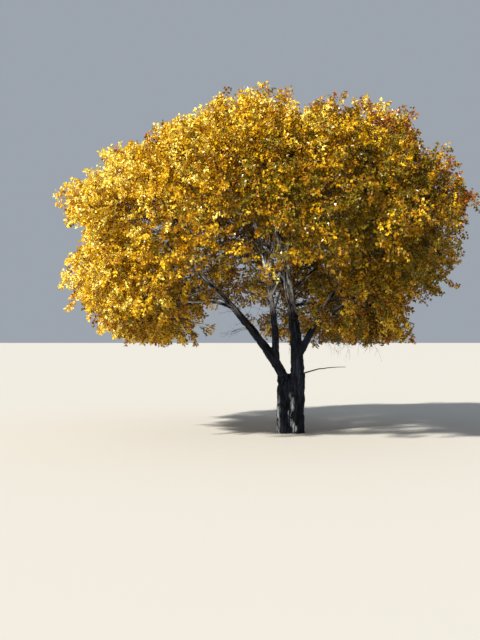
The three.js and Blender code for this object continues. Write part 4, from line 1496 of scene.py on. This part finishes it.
class TREE_OT_leaves(bpy.types.Operator):
    """Make the leaves, one piece for each autumn tint"""

    bl_idname = "tree.leaves"
    bl_label = "Leaves"

    def execute(self, context):
        sizes, colours = context.scene.tree_sizes, context.scene.tree_colours
        grown, sprays = grow_sprays(sizes)
        draw = np.random.default_rng(sizes.seed + LEAF_SEED)
        points, along, facing, shoots = leaf_points(sprays, sizes.spray_length, draw)
        tints = deal_tints(sprays.roots, draw)[shoots]
        tree = leaf_tree()
        nodes = [f"leaves_{growth.name}" for growth in grown]
        for number, (tint, slot) in enumerate(TINTS.items()):
            chosen = tints == number
            mesh = mesh_of(tint, points[chosen].tolist(), [])
            store(mesh, "along", along[chosen])
            store(mesh, "facing", facing[chosen])
            mesh = run_tree(
                mesh,
                tree,
                Length=sizes.leaf_length,
                Width=sizes.leaf_width,
                Fold=sizes.leaf_fold,
                Spread=LEAF_SPREAD,
                Seed=number,
                Material=leaf_material(tint.replace("_", " "), getattr(colours, tint)),
            )
            place_piece(f"leaves_{tint}", mesh, nodes)
        return {"FINISHED"}


class TREE_OT_stage(bpy.types.Operator):
    """Make the floor, the lights and the camera"""

    bl_idname = "tree.stage"
    bl_label = "Stage"

    def execute(self, context):
        scene = context.scene
        sides = ((-1, -1), (1, -1), (1, 1), (-1, 1))
        corners = [(x * FLOOR_HALF, y * FLOOR_HALF, 0) for x, y in sides]
        floor = add_object("floor", mesh_of("floor", corners, [(0, 1, 2, 3)]))
        floor.data.materials.append(floor_material())

        world = bpy.data.worlds.new("studio")
        world.use_nodes = True
        background = world.node_tree.nodes["Background"]
        background.inputs["Color"].default_value = linear(SKY_COLOUR)
        background.inputs["Strength"].default_value = SKY_STRENGTH
        scene.world = world

        sun = bpy.data.lights.new("key", "SUN")
        sun.energy = SUN_STRENGTH
        sun.angle = SUN_SPREAD
        sun.color = SUN_COLOUR
        add_object("key", sun).rotation_euler = Vector(SUN_WAY).to_track_quat("Z", "Y").to_euler()

        lens = bpy.data.cameras.new("camera")
        lens.lens = CAMERA_LENS
        lens.clip_end = CAMERA_REACH
        camera = add_object("camera", lens)
        camera.location = CAMERA_PLACE
        camera.rotation_euler = (math.radians(90 + CAMERA_PITCH), 0, 0)
        scene.camera = camera
        scene.view_settings.view_transform = "Standard"
        return {"FINISHED"}


class TREE_PT_panel(bpy.types.Panel):
    """Lists the tree's settings and the steps that make it"""

    bl_label = "Autumn Cottonwood"
    bl_space_type = "VIEW_3D"
    bl_region_type = "UI"
    bl_category = "Tree"

    def draw(self, context):
        for settings in (context.scene.tree_sizes, context.scene.tree_colours):
            box = self.layout.box()
            for name in settings.__annotations__:
                box.prop(settings, name)
        for operator in STEPS:
            self.layout.operator(operator.bl_idname)


STEPS = (TREE_OT_stage, TREE_OT_bark, TREE_OT_twigs, TREE_OT_leaves)
CLASSES = (TreeSizes, TreeColours, *STEPS, TREE_PT_panel)


def register():
    for one in CLASSES:
        bpy.utils.register_class(one)
    bpy.types.Scene.tree_sizes = bpy.props.PointerProperty(type=TreeSizes)
    bpy.types.Scene.tree_colours = bpy.props.PointerProperty(type=TreeColours)


def unregister():
    del bpy.types.Scene.tree_colours
    del bpy.types.Scene.tree_sizes
    for one in reversed(CLASSES):
        bpy.utils.unregister_class(one)


def main():
    register()
    bpy.ops.tree.stage()
    bpy.ops.tree.bark()
    bpy.ops.tree.twigs()
    bpy.ops.tree.leaves()


if __name__ == "__main__":
    main()
